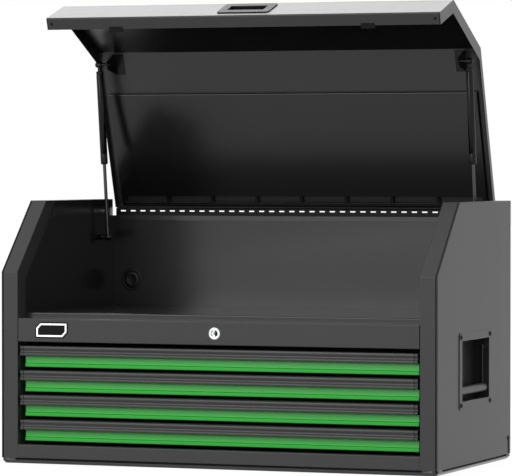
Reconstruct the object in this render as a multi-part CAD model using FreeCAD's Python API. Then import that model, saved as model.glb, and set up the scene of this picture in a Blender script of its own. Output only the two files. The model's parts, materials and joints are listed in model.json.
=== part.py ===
import FreeCAD, Part

import math
import os

# Machinist tool chest: a steel top chest with four drawers, an open top tray and a lid on a
# continuous hinge, held up by two gas struts.  Millimetres, +Z up, +X to the right, front at -Y.
# Everything is drawn with y = 0 at the front face and moved to the chest's centre when saved.

# ---- overall case -------------------------------------------------------------------------
case_width = 1041.0
case_depth = 540.0
front_upright = 105.0           # upright part of the front posts above the ledge
slant_rise = 160.0              # height of the sloping front edge above that
slant_run = 158.0               # how far back the sloping front edge reaches at the top
skin = 1.5                      # sheet of the outer case
inner_skin = 1.2                # sheet of liners, deck, lid and drawer fronts
seat = 0.3                      # running gap between pieces that move past each other
past = 1.0                      # how far a cutting shape runs past the piece it cuts
edge_round = 1.2                # outer folds of the side panels and posts
long_edge = 140.0               # shortest edge that gets this rounding
small_rod_flats = 12
pivot_flats = 24
pivot_running_gap = 0.05

# ---- base and posts -----------------------------------------------------------------------
base_height = 8.0
base_reveal = 4.0               # dark seam above the base pan
base_step = 6.0                 # how far the pan's inner step stands in from its rim
base_pad = 34.0                 # the seam is closed this far along each side of a corner
base_corner = 10.0
base_edge_bevel = 6.0
post_width = 40.0
post_return = 40.0
side_hem = 3.0                  # folded front edge of the side panel
side_hem_depth = 9.0
post_seam = 1.2                 # seam between side panel and front post
post_lap = 14.0
liner_inset = 2.5               # liner face stands this far inside the post's return
liner_hem = 10.0
screw_head_radius = 5.5
screw_head_height = 2.0
rear_screw_from_back = 20.0
rear_screw_height = 48.0
rear_slot_width = 9.0           # upright relief under the rear screw
rear_slot_gap = 3.0

# ---- front rails and deck -----------------------------------------------------------------
rail_face_height = 53.2
ledge_depth = 40.0
top_rail_gap = 9.0              # above the uppermost pull
rail_flange = 25.0
rail_end_gap = 1.5
bottom_rail_top = 42.9
rail_bend = 2.4
deck_above_ledge = 12.0
deck_flange = 24.0
deck_bend = 2.4

# ---- back panel and cable port ------------------------------------------------------------
back_below_hinge = 15.0
back_hem = 12.0
port_from_liner = 49.0
port_above_deck = 60.0
port_radius = 20.0
port_wall = 2.0
port_flange_radius = 26.0
port_flange = 2.0
port_flats = 24

# ---- continuous hinge ---------------------------------------------------------------------
hinge_below_top = 24.0          # hinge line under the case's top
knuckle_radius = 2.5
hinge_pin_radius = 1.3
hinge_running_gap = 0.08
hinge_leaf_sheet = 1.0
knuckle_flats = 6
bore_flats = 4
hinge_pitch = 25.4
hinge_end_gap = 6.0
hinge_notch = 3.6               # light gap between the knuckles and the leaf
hinge_leaf_drop = 30.0

# ---- lid ----------------------------------------------------------------------------------
lid_angle = 72.2                # from closed to the struts' full length
lid_side_gap = 4.5              # from the post's return to the lid's edge
lid_floor_gap = 1.2             # lip above the ledge when shut
lid_lip = 28.0
lid_flange = 28.0               # end flanges along the front and the slope
lid_top_flange = 15.0           # end flanges along the top
lid_lip_seam = 1.5
lid_bend = 3.0
lid_rear_drop = 19.0
panel_front_behind = 102.0      # inner stiffening panel's front edge, behind the lid's upper bend
slot_front_from_back = 27.0
panel_offset = 9.0
panel_side_gap = 16.0
slot_rear_from_back = 10.0
slot_pitch = 113.0
slot_bridge = 7.0
pull_margin_side = 19.0
pull_margin_end = 20.5
pull_opening_width = 88.0
pull_opening_height = 31.0
pull_recess = 16.0
pull_plate = 2.2
pull_wall = 1.5
pull_corner = 9.0
pull_from_lip = 56.0
buffer_x = 305.0
buffer_width = 33.0
buffer_depth = 13.0
buffer_height = 4.8
buffer_behind_lip = 7.5
rivet_from_end = 12.0
rivet_radius = 4.0
rivet_head = 0.8

# ---- gas struts ---------------------------------------------------------------------------
strut_from_liner = 19.0
strut_wall_ahead = 76.5         # lower pin, ahead of the hinge line
strut_wall_below = 66.0         # lower pin, under the hinge line
strut_lid_behind = 19.0         # upper pin, behind the lid's upper bend when shut
strut_lid_below = 41.0          # upper pin, under the case's top when shut
strut_tube_radius = 8.5
strut_shut_gap = 27.1           # rod left showing when the lid is shut
strut_rod_radius = 4.0
strut_rod_inside = 62.0
strut_cap = 3.0
strut_fitting = 29.0
strut_eye_radius = 7.5
strut_eye_width = 12.0
strut_stem = 15.0
strut_stem_radius = 4.5
strut_pin_radius = 4.0
strut_running_gap = 0.08
strut_nut = 3.5
strut_nut_radius = 6.0
strut_clip = 1.5
strut_plate = 2.0
strut_plate_offset = 24.0
strut_foot_width = 22.0
strut_foot_behind = 36.0
strut_cheek_ahead = 15.0
strut_cheek_end = 9.0
strut_pad_ahead = 56.0
strut_pad_depth = 12.0
strut_pad_half_height = 14.0
strut_arm_behind = 14.0
strut_arm_half_height = 7.0

# ---- drawers ------------------------------------------------------------------------------
drawer_count = 4
drawer_pitch = 55.9
drawer_bottom_gap = 7.3         # lowest drawer above the bottom rail
pull_height = 23.1
drawer_front_height = 49.4
drawer_side_gap = 5.5           # post to the pull's end
front_side_gap = 4.0            # pull's end to the coloured front's end
front_recess = 24.0
bead_height = 9.0
bead_proud = 2.4
bead_bend = 2.4
front_flange = 12.0
pull_sheet = 1.6
brow_set_back = 1.4
brow_height = 7.0
brow_foot_back = 1.0
brow_bend = 3.2
waist_below = 12.0
waist_depth = 5.0
waist_bend = 5.0
lip_below = 17.5
lip_set_back = 0.4
lip_turn = 8.0
lip_bend = 2.0
cheek_below = 9.0
drawer_rear_gap = 43.8
drawer_sheet = 1.0
drawer_rim = 5.0
drawer_floor_above = 3.0
drawer_wall_below = 9.0         # drawer walls stop this far under the pull's top
slide_space = 13.0
slide_sheet = 1.1
slide_height = 34.0
slide_step = 2.3                # each member is this much smaller, above and below
slide_above_floor = 19.0
slide_set_back = 12.0
slide_front_gap = 1.0           # behind the coloured front's flange
slide_rear_gap = 52.0
slide_wall_lip = 2.0
slide_middle_lip = 2.5
slide_middle_short = 2.0

# ---- lock and badge -----------------------------------------------------------------------
lock_below_ledge = 27.0
lock_collar_radius = 13.5
lock_collar = 2.5
lock_collar_taper = 1.25
lock_nut = 3.5
lock_barrel_radius = 9.5
lock_plug_radius = 7.5
lock_depth = 26.0
lock_running_gap = 0.08
key_slot_width = 2.2
key_slot_height = 8.4
key_slot_depth = 9.0
cam_length = 26.0
cam_width = 14.0
cam_sheet = 2.5
badge_from_end = 79.0
badge_below_ledge = 26.0
badge_width = 80.0
badge_tall = 36.0
badge_sheet = 1.5
badge_corner = 3.0
badge_chamfer = 12.0            # upper left and lower right corners

# ---- side handles -------------------------------------------------------------------------
handle_height = 219.5
handle_margin_side = 20.0
handle_margin_end = 18.5
handle_plate = 1.5
handle_opening_length = 196.0
handle_opening_height = 134.0
handle_pocket = 35.0
handle_pocket_wall = 1.5
handle_plate_corner = 8.0
bail_bar = 8.0
bail_sheet = 4.0
bail_pin_radius = 4.0
bail_pivot_depth = 11.5
bail_pivot_below = 20.0         # pivot under the top of the opening
bail_bottom_gap = 22.0
bail_arm_gap = 5.0
pivot_boss = 2.0
pivot_boss_radius = 8.0
grip_radius = 10.0
grip_wall = 2.0
grip_gap = 0.05
handle_screw_inset_side = 12.0
handle_screw_inset_end = 10.0

# ---- worked out from the sizes above ------------------------------------------------------
half_width = case_width / 2
post_inner = half_width - post_width
liner_face = post_inner - liner_inset
foot = base_height + base_reveal
back_front = case_depth - skin
side_rear = back_front
lid_half = post_inner - lid_side_gap
hinge_back = case_depth + knuckle_radius
drawer_half = post_inner - drawer_side_gap
front_half = drawer_half - front_side_gap
box_half = liner_face - slide_space
handle_centre = case_depth / 2
handle_plate_length = handle_opening_length + 2 * handle_margin_side
handle_plate_height = handle_opening_height + 2 * handle_margin_end
handle_screw_along = handle_plate_length / 2 - handle_screw_inset_side
handle_screw_up = handle_plate_height / 2 - handle_screw_inset_end
bail_drop = handle_opening_height - bail_pivot_below - bail_bottom_gap
first_pull_top = (bottom_rail_top + drawer_bottom_gap + (drawer_count - 1) * drawer_pitch
                  + drawer_front_height)
top_rail_bottom = first_pull_top + top_rail_gap
ledge_height = top_rail_bottom + rail_face_height
slant_start_height = ledge_height + front_upright
case_height = slant_start_height + slant_rise
hinge_height = case_height - hinge_below_top
hinge_half_length = lid_half - hinge_end_gap
back_height = hinge_height - back_below_hinge
deck_height = ledge_height + deck_above_ledge
port_height = deck_height + port_above_deck
port_x = port_from_liner - liner_face
lock_height = ledge_height - lock_below_ledge
badge_height = ledge_height - badge_below_ledge
badge_x = badge_from_end - drawer_half
panel_front = slant_run + panel_front_behind
slot_front = case_depth - slot_front_from_back
slot_rear = case_depth - slot_rear_from_back
pull_plate_width = pull_opening_width + 2 * pull_margin_side
pull_plate_height = pull_opening_height + 2 * pull_margin_end
strut_x = liner_face - strut_from_liner
strut_plate_x = strut_x - strut_plate_offset
strut_lid_back = slant_run + strut_lid_behind
strut_lid_height = case_height - strut_lid_below
drawer_length = case_depth - front_recess - inner_skin - drawer_rear_gap
slide_front = front_recess + front_flange + slide_front_gap
slide_length = case_depth - slide_front - slide_rear_gap

FRONT_PATH = [(0.0, foot), (0.0, slant_start_height), (slant_run, case_height)]


def vec(x, y, z):
    return FreeCAD.Vector(x, y, z)


# ---- drawing helpers ----------------------------------------------------------------------
def on_side(x):
    # places a flat outline (y, z) on an upright plane across the chest
    return lambda a, b: vec(x, a, b)


def on_front(y):
    # places a flat outline (x, z) on an upright plane along the chest
    return lambda a, b: vec(a, y, b)


def block(x0, x1, y0, y1, z0, z1):
    return Part.makeBox(x1 - x0, y1 - y0, z1 - z0, vec(x0, y0, z0))


def rod(start, direction, radius, length):
    return Part.makeCylinder(radius, length, start, direction)


def small_rod(start, direction, radius, length, flats=small_rod_flats):
    # short pin or screw head made of flats that stand outside the given radius
    across = direction.cross(vec(0, 0, 1))
    if across.Length < 0.5:
        across = direction.cross(vec(0, 1, 0))
    across.normalize()
    along = direction.cross(across)
    corner = radius / math.cos(math.pi / flats)
    points = []
    for k in range(flats):
        angle = 2 * math.pi * k / flats
        points.append(start + across * (corner * math.cos(angle)) + along * (corner * math.sin(angle)))
    points.append(points[0])
    return Part.Face(Part.makePolygon(points)).extrude(direction * length)


def pivot_pin(start, direction, radius, length):
    # pin whose corners lie on the radius, so that it turns inside its bore
    return small_rod(start, direction, radius * math.cos(math.pi / pivot_flats), length, pivot_flats)


def pivot_bore(start, direction, radius, length):
    return small_rod(start, direction, radius + pivot_running_gap, length, pivot_flats)


def join(shapes):
    whole = shapes[0]
    if len(shapes) > 1:
        whole = whole.fuse(shapes[1:])
    return whole.removeSplitter()


def flipped(shape):
    # the same piece for the left-hand side
    return shape.mirror(vec(0, 0, 0), vec(1, 0, 0))


def unit(start, end):
    length = math.hypot(end[0] - start[0], end[1] - start[1])
    return ((end[0] - start[0]) / length, (end[1] - start[1]) / length)


def offset_path(points, distance):
    # parallel copy of an open path, mitred at its corners; positive is to the left
    result = []
    last = len(points) - 1
    for i, point in enumerate(points):
        before = unit(points[max(i - 1, 0)], points[max(i, 1)])
        after = unit(points[min(i, last - 1)], points[min(i + 1, last)])
        normal_a = (-before[1], before[0])
        normal_b = (-after[1], after[0])
        scale = distance / (1 + normal_a[0] * normal_b[0] + normal_a[1] * normal_b[1])
        shift = ((normal_a[0] + normal_b[0]) * scale, (normal_a[1] + normal_b[1]) * scale)
        result.append((point[0] + shift[0], point[1] + shift[1]))
    return result


def corner_arc(before, corner, after, radius):
    # start, middle and end of the arc that rounds one corner
    back = unit(corner, before)
    ahead = unit(corner, after)
    half_angle = math.acos(max(-1.0, min(1.0, back[0] * ahead[0] + back[1] * ahead[1]))) / 2
    reach = radius / math.tan(half_angle)
    bisector = unit((0, 0), (back[0] + ahead[0], back[1] + ahead[1]))
    depth = radius / math.sin(half_angle) - radius
    start = (corner[0] + back[0] * reach, corner[1] + back[1] * reach)
    middle = (corner[0] + bisector[0] * depth, corner[1] + bisector[1] * depth)
    end = (corner[0] + ahead[0] * reach, corner[1] + ahead[1] * reach)
    return start, middle, end


def outline_face(points, radii, place):
    # closed flat outline with rounded corners
    edges = []
    count = len(points)
    corners = []
    for i, point in enumerate(points):
        if radii[i] > 0:
            corners.append(corner_arc(points[i - 1], point, points[(i + 1) % count], radii[i]))
        else:
            corners.append((point, point, point))
    for i, (start, middle, end) in enumerate(corners):
        if radii[i] > 0:
            edges.append(Part.Arc(place(*start), place(*middle), place(*end)).toShape())
        following = corners[(i + 1) % count][0]
        if math.hypot(following[0] - end[0], following[1] - end[1]) > 1e-6:
            edges.append(Part.LineSegment(place(*end), place(*following)).toShape())
    return Part.Face(Part.Wire(edges))


def bent_sheet(path, radii, sheet, place, along):
    # folded sheet: the path is its outer face, radii are those of the path's own bends
    # and a positive sheet thickness lies to the left of the path
    other = offset_path(path, sheet)
    other_radii = []
    for i, radius in enumerate(radii):
        if radius == 0:
            other_radii.append(0)
            continue
        a = unit(path[i - 1], path[i])
        b = unit(path[i], path[i + 1])
        turn = a[0] * b[1] - a[1] * b[0]
        if turn * sheet > 0:
            other_radii.append(max(radius - abs(sheet), 0))
        else:
            other_radii.append(radius + abs(sheet))
    face = outline_face(path + other[::-1], radii + other_radii[::-1], place)
    return face.extrude(along)


def plate_x(points, x0, x1, radii=None):
    # flat plate standing across the chest, outline in (y, z)
    return outline_face(points, radii or [0] * len(points), on_side(x0)).extrude(vec(x1 - x0, 0, 0))


def rectangle(a0, a1, b0, b1):
    return [(a0, b0), (a1, b0), (a1, b1), (a0, b1)]


def front_band(near, far, x0, x1, top):
    # strip that follows the post's front edge, from near to far behind it, cut level at the top
    def edge(distance):
        path = offset_path(FRONT_PATH, -distance)
        low, knee, high = path
        grow = (top - knee[1]) / (high[1] - knee[1])
        return [(low[0], foot), knee, (knee[0] + (high[0] - knee[0]) * grow, top)]
    return plate_x(edge(near) + edge(far)[::-1], x0, x1)


def save(name, shape):
    moved = shape.copy()
    moved.translate(vec(0, -case_depth / 2, 0))
    moved.exportStep(os.path.join("parts", name + ".step"))


def save_pair(name, right_hand):
    save(name + "_right", right_hand)
    save(name + "_left", flipped(right_hand))


def both_sides(right_hand):
    return [right_hand, flipped(right_hand)]


def lid_open(shape):
    # swings a piece drawn on the shut lid up to where the struts hold it
    swung = shape.copy()
    swung.rotate(vec(0, hinge_back, hinge_height), vec(1, 0, 0), -lid_angle)
    return swung


def lid_point(back, height):
    angle = math.radians(-lid_angle)
    y = back - hinge_back
    z = height - hinge_height
    return (hinge_back + y * math.cos(angle) - z * math.sin(angle),
            hinge_height + y * math.sin(angle) + z * math.cos(angle))


# ---- case ---------------------------------------------------------------------------------
def base_pan():
    # pressed pan with a bevelled lower edge; the case stands on its raised inner step
    pan = block(-half_width, half_width, 0, case_depth, 0, base_height)
    uprights = [e for e in pan.Edges if abs(e.BoundBox.ZLength - base_height) < 1e-6]
    pan = pan.makeFillet(base_corner, uprights)
    pan = pan.makeChamfer(base_edge_bevel, [e for e in pan.Edges if e.BoundBox.ZMax < 1e-6])
    wall = base_step + skin
    pan = pan.cut(block(-half_width + wall, half_width - wall, wall, case_depth - wall, skin, foot))
    step = block(-half_width + base_step, half_width - base_step, base_step, case_depth - base_step,
                 base_height, foot)
    inside = block(-half_width + wall, half_width - wall, wall, case_depth - wall, 0, foot + past)
    rim = block(-half_width, half_width, 0, case_depth, base_height, foot)
    rim = rim.makeFillet(base_corner, [e for e in rim.Edges if e.BoundBox.ZLength > base_reveal / 2])
    pieces = [pan, step.cut(inside)]
    for x in (-half_width, half_width - base_pad):
        for y in (0, case_depth - base_pad):
            pad = rim.common(block(x, x + base_pad, y, y + base_pad, base_height, foot))
            pieces.append(pad.cut(inside))
    return join(pieces)


def handle_hole(x0, x1):
    half_length = handle_opening_length / 2 + handle_pocket_wall + seat
    half_tall = handle_opening_height / 2 + handle_pocket_wall + seat
    return block(x0, x1, handle_centre - half_length, handle_centre + half_length,
                 handle_height - half_tall, handle_height + half_tall)


def side_panel():
    # outer skin folded over at the top, back and bottom, with a hemmed front edge
    outline = FRONT_PATH + [(side_rear, case_height), (side_rear, foot)]
    outer = plate_x(outline, half_width - skin, half_width)
    outer = outer.cut(handle_hole(half_width - skin - past, half_width + past))
    relief_rear = case_depth - rear_screw_from_back + rear_slot_width / 2
    relief_top = rear_screw_height - screw_head_radius + rear_slot_gap
    outer = outer.cut(block(half_width - skin - past, half_width + past,
                            relief_rear - rear_slot_width, relief_rear, foot + skin, relief_top))
    under_top = case_height - skin
    top_start = slant_run + (skin / slant_rise) * slant_run
    top = block(liner_face, half_width - skin, top_start, side_rear, under_top, case_height)
    rear = block(liner_face, half_width - skin, side_rear - skin, side_rear, foot, case_height)
    bottom = block(liner_face, half_width - skin, post_return, side_rear, foot, foot + skin)
    hem = front_band(0, side_hem_depth, half_width - side_hem, half_width - skin, under_top)
    panel = join([outer, top, rear, bottom, hem])
    long_edges = [e for e in panel.Edges
                  if e.BoundBox.XMin > half_width - 1e-6
                  and (e.BoundBox.ZMin > foot + past or e.BoundBox.YLength < 1e-6)
                  and e.Length > long_edge]
    return panel.makeFillet(edge_round, long_edges)


def front_post():
    # boxed post along the upright and sloping front edge
    outer_x = half_width - side_hem - post_seam
    top = case_height - skin
    face = front_band(0, skin, post_inner, outer_x, top)
    inner_return = front_band(0, post_return, post_inner, post_inner + skin, top)
    outer_return = front_band(0, post_lap, outer_x - skin, outer_x, top)
    lap = front_band(post_lap - skin, post_lap, outer_x - skin, half_width - skin, top)
    post = join([face, inner_return, outer_return, lap])
    inside_edge = [e for e in post.Edges
                   if abs(e.BoundBox.XMin - post_inner) < 1e-6 and e.BoundBox.XLength < 1e-6
                   and e.BoundBox.YMin < 1e-6 and e.Length > long_edge]
    return post.makeFillet(edge_round, inside_edge)


def side_liner():
    # inner wall: starts behind the post's return, with a hemmed front edge lying against it
    def edge(distance):
        low, knee, high = offset_path(FRONT_PATH, -distance)
        top = case_height - skin
        grow = (top - knee[1]) / (high[1] - knee[1])
        return [(low[0], foot + skin), knee, (knee[0] + (high[0] - knee[0]) * grow, top)]
    rear = side_rear - skin
    outline = edge(post_return) + [(rear, case_height - skin), (rear, foot + skin)]
    wall_rear = liner_face + inner_skin
    wall = plate_x(outline, liner_face, wall_rear)
    hem = plate_x(edge(post_return - liner_hem) + edge(post_return)[::-1], wall_rear, post_inner)
    step = plate_x(edge(post_return) + edge(post_return + liner_hem)[::-1], liner_face, post_inner)
    return join([wall, step])


def back_panel():
    sheet_part = block(-half_width + skin, half_width - skin, back_front, case_depth, foot, back_height)
    hem = block(-liner_face, liner_face, back_front - skin, back_front, back_height - back_hem, back_height)
    hole = small_rod(vec(port_x, back_front - past, port_height), vec(0, 1, 0), port_radius + port_wall,
                     skin + 2 * past, port_flats)
    panel = join([sheet_part, hem]).cut(hole)
    return panel


def deck_panel():
    path = [(ledge_depth, deck_height - deck_flange), (ledge_depth, deck_height),
            (back_front, deck_height), (back_front, deck_height - deck_flange)]
    tray = bent_sheet(path, [0, deck_bend, deck_bend, 0], -inner_skin, on_side(-liner_face),
                      vec(2 * liner_face, 0, 0))
    inside = liner_face - inner_skin
    flange = block(inside, liner_face, ledge_depth + deck_bend, back_front - deck_bend,
                   deck_height - deck_flange / 2, deck_height - inner_skin / 2)
    return join([tray] + both_sides(flange))


def front_top_rail():
    face_half = post_inner - rail_end_gap
    path = [(ledge_depth, ledge_height), (0, ledge_height), (0, top_rail_bottom),
            (rail_flange, top_rail_bottom)]
    rail = bent_sheet(path, [0, rail_bend, rail_bend, 0], skin, on_side(-face_half),
                      vec(2 * face_half, 0, 0))
    ear = block(face_half, post_inner, rail_bend, ledge_depth, ledge_height - skin, ledge_height)
    rail = join([rail] + both_sides(ear))
    hole = small_rod(vec(0, -past, lock_height), vec(0, 1, 0), lock_barrel_radius + seat, skin + 2 * past)
    return rail.cut(hole)


def front_bottom_rail():
    path = [(rail_flange, bottom_rail_top), (0, bottom_rail_top), (0, foot), (rail_flange, foot)]
    return bent_sheet(path, [0, rail_bend, rail_bend, 0], skin, on_side(-post_inner),
                      vec(2 * post_inner, 0, 0))


def cable_port_ring():
    inside = vec(port_x, back_front - port_flange, port_height)
    rearward = vec(0, 1, 0)
    flange = small_rod(inside, rearward, port_flange_radius, port_flange, port_flats)
    sleeve = small_rod(inside, rearward, port_radius + port_wall, port_flange + skin, port_flats)
    opening = small_rod(inside - rearward * past, rearward, port_radius, port_flange + skin + 2 * past,
                        port_flats)
    return join([flange, sleeve]).cut(opening)


def cable_port_cap():
    start = vec(port_x, back_front - port_flange / 2, port_height)
    return small_rod(start, vec(0, 1, 0), port_radius, port_flange / 2 + skin, port_flats)


def side_screws():
    # pan heads at the handle plates' corners and low down at the back of each side
    places = []
    for along in (-handle_screw_along, handle_screw_along):
        for up in (-handle_screw_up, handle_screw_up):
            places.append((half_width + handle_plate, handle_centre + along, handle_height + up))
    places.append((half_width, case_depth - rear_screw_from_back, rear_screw_height))
    heads = []
    for x, y, z in places:
        heads += both_sides(small_rod(vec(x, y, z), vec(1, 0, 0), screw_head_radius, screw_head_height))
    return Part.makeCompound(heads)


# ---- lock and badge -----------------------------------------------------------------------
def lock_housing():
    # collar, barrel through the rail, and the nut that clamps it from behind
    axis = vec(0, 1, 0)
    collar = Part.makeCone(lock_collar_radius - lock_collar_taper, lock_collar_radius, lock_collar,
                           vec(0, -lock_collar, lock_height), axis)
    barrel = small_rod(vec(0, 0, lock_height), axis, lock_barrel_radius, lock_depth - lock_collar)
    nut = small_rod(vec(0, skin, lock_height), axis, lock_collar_radius, lock_nut)
    bore = rod(vec(0, -lock_collar - past, lock_height), axis, lock_plug_radius + lock_running_gap,
               lock_depth + 2 * past)
    return join([collar, barrel, nut]).cut(bore)


def lock_cylinder():
    axis = vec(0, 1, 0)
    plug = rod(vec(0, -lock_collar, lock_height), axis, lock_plug_radius, lock_depth + seat)
    half_slot = key_slot_width / 2
    half_tall = key_slot_height / 2
    slot = block(-half_slot, half_slot, -lock_collar - past, key_slot_depth - lock_collar,
                 lock_height - half_tall, lock_height + half_tall)
    return plug.cut(slot)


def lock_cam():
    # flat tongue on the back of the plug; it points up when the drawers are free
    start = lock_depth - lock_collar + seat
    half = cam_width / 2
    top = lock_height + cam_length - half
    outline = rectangle(-half, half, lock_height - half, top)
    return outline_face(outline, [0] * 4, on_front(start)).extrude(vec(0, cam_sheet, 0))


def badge_plate():
    half = badge_width / 2
    tall = badge_tall / 2
    left, right = badge_x - half, badge_x + half
    low, high = badge_height - tall, badge_height + tall
    outline = [(left, low), (right - badge_chamfer, low), (right, low + badge_chamfer), (right, high),
               (left + badge_chamfer, high), (left, high - badge_chamfer)]
    return outline_face(outline, [badge_corner] * 6, on_front(-badge_sheet)).extrude(vec(0, badge_sheet, 0))


# ---- side handles -------------------------------------------------------------------------
pivot_x = half_width - bail_pivot_depth
pivot_z = handle_height + handle_opening_height / 2 - bail_pivot_below


def handle_frame(length, tall, corner, x0, x1):
    return plate_x(rectangle(handle_centre - length / 2, handle_centre + length / 2,
                             handle_height - tall / 2, handle_height + tall / 2), x0, x1, [corner] * 4)


def handle_housing():
    # screwed-on plate with a pocket let into the wall, and two ears for the bail
    outside = half_width + handle_plate
    plate = handle_frame(handle_plate_length, handle_plate_height, handle_plate_corner, half_width, outside)
    grow = 2 * handle_pocket_wall
    shell = handle_frame(handle_opening_length + grow, handle_opening_height + grow, 0,
                         half_width - handle_pocket - handle_pocket_wall, half_width)
    hollow = handle_frame(handle_opening_length, handle_opening_height, 0, half_width - handle_pocket,
                          outside + past)
    housing = join([plate, shell]).cut(hollow)
    half = handle_opening_length / 2
    for side in (-1, 1):
        wall = handle_centre + side * half
        boss = small_rod(vec(pivot_x, wall - side * pivot_boss, pivot_z), vec(0, side, 0),
                         pivot_boss_radius, pivot_boss)
        housing = housing.fuse(boss)
        bore = pivot_bore(vec(pivot_x, wall - side * (pivot_boss + past), pivot_z), vec(0, side, 0),
                          bail_pin_radius, pivot_boss + handle_pocket_wall + 2 * past)
        housing = housing.cut(bore)
    return housing.removeSplitter()


def handle_bail():
    # flat bar bent into a U, with pivots turned out into the housing's ears
    reach = handle_opening_length / 2 + handle_pocket_wall
    arm = handle_opening_length / 2 - bail_arm_gap
    top = pivot_z + bail_bar / 2
    low = pivot_z - bail_drop
    outer = rectangle(handle_centre - arm, handle_centre + arm, low - bail_bar / 2, top)
    inner = rectangle(handle_centre - arm + bail_bar, handle_centre + arm - bail_bar, low + bail_bar / 2,
                      top + past)
    left = pivot_x - bail_sheet / 2
    right = left + bail_sheet
    frame = plate_x(outer, left, right).cut(plate_x(inner, left - past, right + past))
    pieces = [frame]
    for side in (-1, 1):
        start = vec(pivot_x, handle_centre + side * (arm - bail_bar / 2), pivot_z)
        pieces.append(pivot_pin(start, vec(0, side, 0), bail_pin_radius, reach - arm + bail_bar / 2))
    return join(pieces)


def handle_grip():
    # moulded grip round the bail's lower bar
    half = handle_opening_length / 2 - bail_arm_gap + grip_wall
    low = pivot_z - bail_drop
    sleeve = rod(vec(pivot_x, handle_centre - half, low), vec(0, 1, 0), grip_radius, 2 * half)
    bar_half = bail_bar / 2 + grip_gap
    sheet_half = bail_sheet / 2 + grip_gap
    arm = handle_opening_length / 2 - bail_arm_gap + grip_gap
    room = block(pivot_x - sheet_half, pivot_x + sheet_half, handle_centre - arm, handle_centre + arm,
                 low - bar_half, low + bar_half)
    for side in (-1, 1):
        arm_inside = arm - bail_bar - 2 * grip_gap
        y0, y1 = sorted((handle_centre + side * arm, handle_centre + side * arm_inside))
        above = low + grip_radius + past
        room = room.fuse(block(pivot_x - sheet_half, pivot_x + sheet_half, y0, y1, low, above))
    return sleeve.cut(room)


# ---- continuous hinge ---------------------------------------------------------------------
def knuckle_starts(first):
    # left ends of every second knuckle, the first set for the case and the next for the lid
    starts = []
    x = -hinge_half_length + first * hinge_pitch / 2
    while x + hinge_pitch / 2 <= hinge_half_length + 1e-6:
        starts.append(x)
        x += hinge_pitch
    return starts


def knuckle_outline(radius, flats):
    # outline round the hinge line whose flats stand at the given radius, one of them at the front
    corner = radius / math.cos(math.pi / flats)
    points = []
    for k in range(flats):
        angle = math.pi * (2 * k + 1) / flats
        points.append((hinge_back - corner * math.cos(angle), hinge_height + corner * math.sin(angle)))
    return points


def hinge_leaf(first, far_edge):
    # flat leaf behind the panel with folded knuckles along the hinge line; far_edge is the
    # height of the leaf's other edge, below the line on the case and above it on the lid
    way = math.copysign(1, far_edge - hinge_height)
    rear = case_depth + hinge_leaf_sheet
    strip_edge = hinge_height + way * (knuckle_radius + hinge_notch)
    low, high = sorted((far_edge, strip_edge))
    pieces = [block(-hinge_half_length, hinge_half_length, case_depth, rear, low, high)]
    length = hinge_pitch / 2 - seat
    low, high = sorted((hinge_height, strip_edge))
    for x in knuckle_starts(first):
        barrel = plate_x(knuckle_outline(knuckle_radius, knuckle_flats), x, x + length)
        pieces.append(barrel.fuse(block(x, x + length, case_depth, rear, low, high)))
    leaf = join(pieces)
    bore = plate_x(knuckle_outline(hinge_pin_radius + hinge_running_gap, bore_flats),
                   -hinge_half_length - past, hinge_half_length + past)
    return leaf.cut(bore)


def hinge_pin():
    return rod(vec(-hinge_half_length, hinge_back, hinge_height), vec(1, 0, 0), hinge_pin_radius,
               2 * hinge_half_length)


# ---- lid, drawn shut ----------------------------------------------------------------------
lid_low = ledge_height + lid_floor_gap
lid_inside = case_height - inner_skin
pull_centre = lid_low + pull_from_lip


def lid_shell():
    # folded lid: lip, front, slope, top and rear edge in one sheet, with flanges down both ends
    path = [(lid_lip, lid_low), (0, lid_low), (0, slant_start_height), (slant_run, case_height),
            (case_depth, case_height), (case_depth, case_height - lid_rear_drop)]
    wrap = bent_sheet(path, [0, lid_bend, lid_bend * 2, lid_bend * 2, lid_bend, 0], -inner_skin,
                      on_side(-lid_half), vec(2 * lid_half, 0, 0))
    spine = path[1:5]
    within = offset_path(spine, -lid_flange)
    shallow = offset_path(spine, -lid_top_flange)
    below_top = shallow[2][1]
    slope = (within[2][0] - within[1][0]) / (within[2][1] - within[1][1])
    inner_bend = (within[1][0] + (below_top - within[1][1]) * slope, below_top)
    outline = spine + [shallow[3], inner_bend, within[1], within[0]]
    flange = plate_x(outline, lid_half - inner_skin, lid_half,
                     [lid_bend, lid_bend * 2, lid_bend * 2, lid_bend, 0, 0, 0, 0])
    seam = block(lid_half - inner_skin - lid_lip_seam, lid_half - inner_skin, lid_bend, lid_lip + past,
                 lid_low - past, lid_low + inner_skin + past)
    shell = join([wrap] + both_sides(flange)).cut(both_sides(seam))
    clear = pull_wall + seat
    opening = outline_face(rectangle(-pull_opening_width / 2 - clear, pull_opening_width / 2 + clear,
                                     pull_centre - pull_opening_height / 2 - clear,
                                     pull_centre + pull_opening_height / 2 + clear),
                           [0] * 4, on_front(-past)).extrude(vec(0, inner_skin + 2 * past, 0))
    return shell.cut(opening)


def lid_inner_panel():
    # stiffener under the lid's top, with a row of long slots near the hinge
    half = lid_half - inner_skin - panel_side_gap
    low = lid_inside - panel_offset
    rear = case_depth - inner_skin - seat
    path = [(panel_front, lid_inside), (panel_front, low), (rear, low), (rear, lid_inside - lid_bend)]
    panel = bent_sheet(path, [0, lid_bend, lid_bend, 0], inner_skin, on_side(-half), vec(2 * half, 0, 0))
    count = int(2 * half / slot_pitch)
    slots = []
    for i in range(count):
        middle = (i - (count - 1) / 2) * slot_pitch
        reach = (slot_pitch - slot_bridge) / 2
        slots.append(block(middle - reach, middle + reach, slot_front, slot_rear,
                           low - past, low + inner_skin + past))
    return panel.cut(slots)


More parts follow.
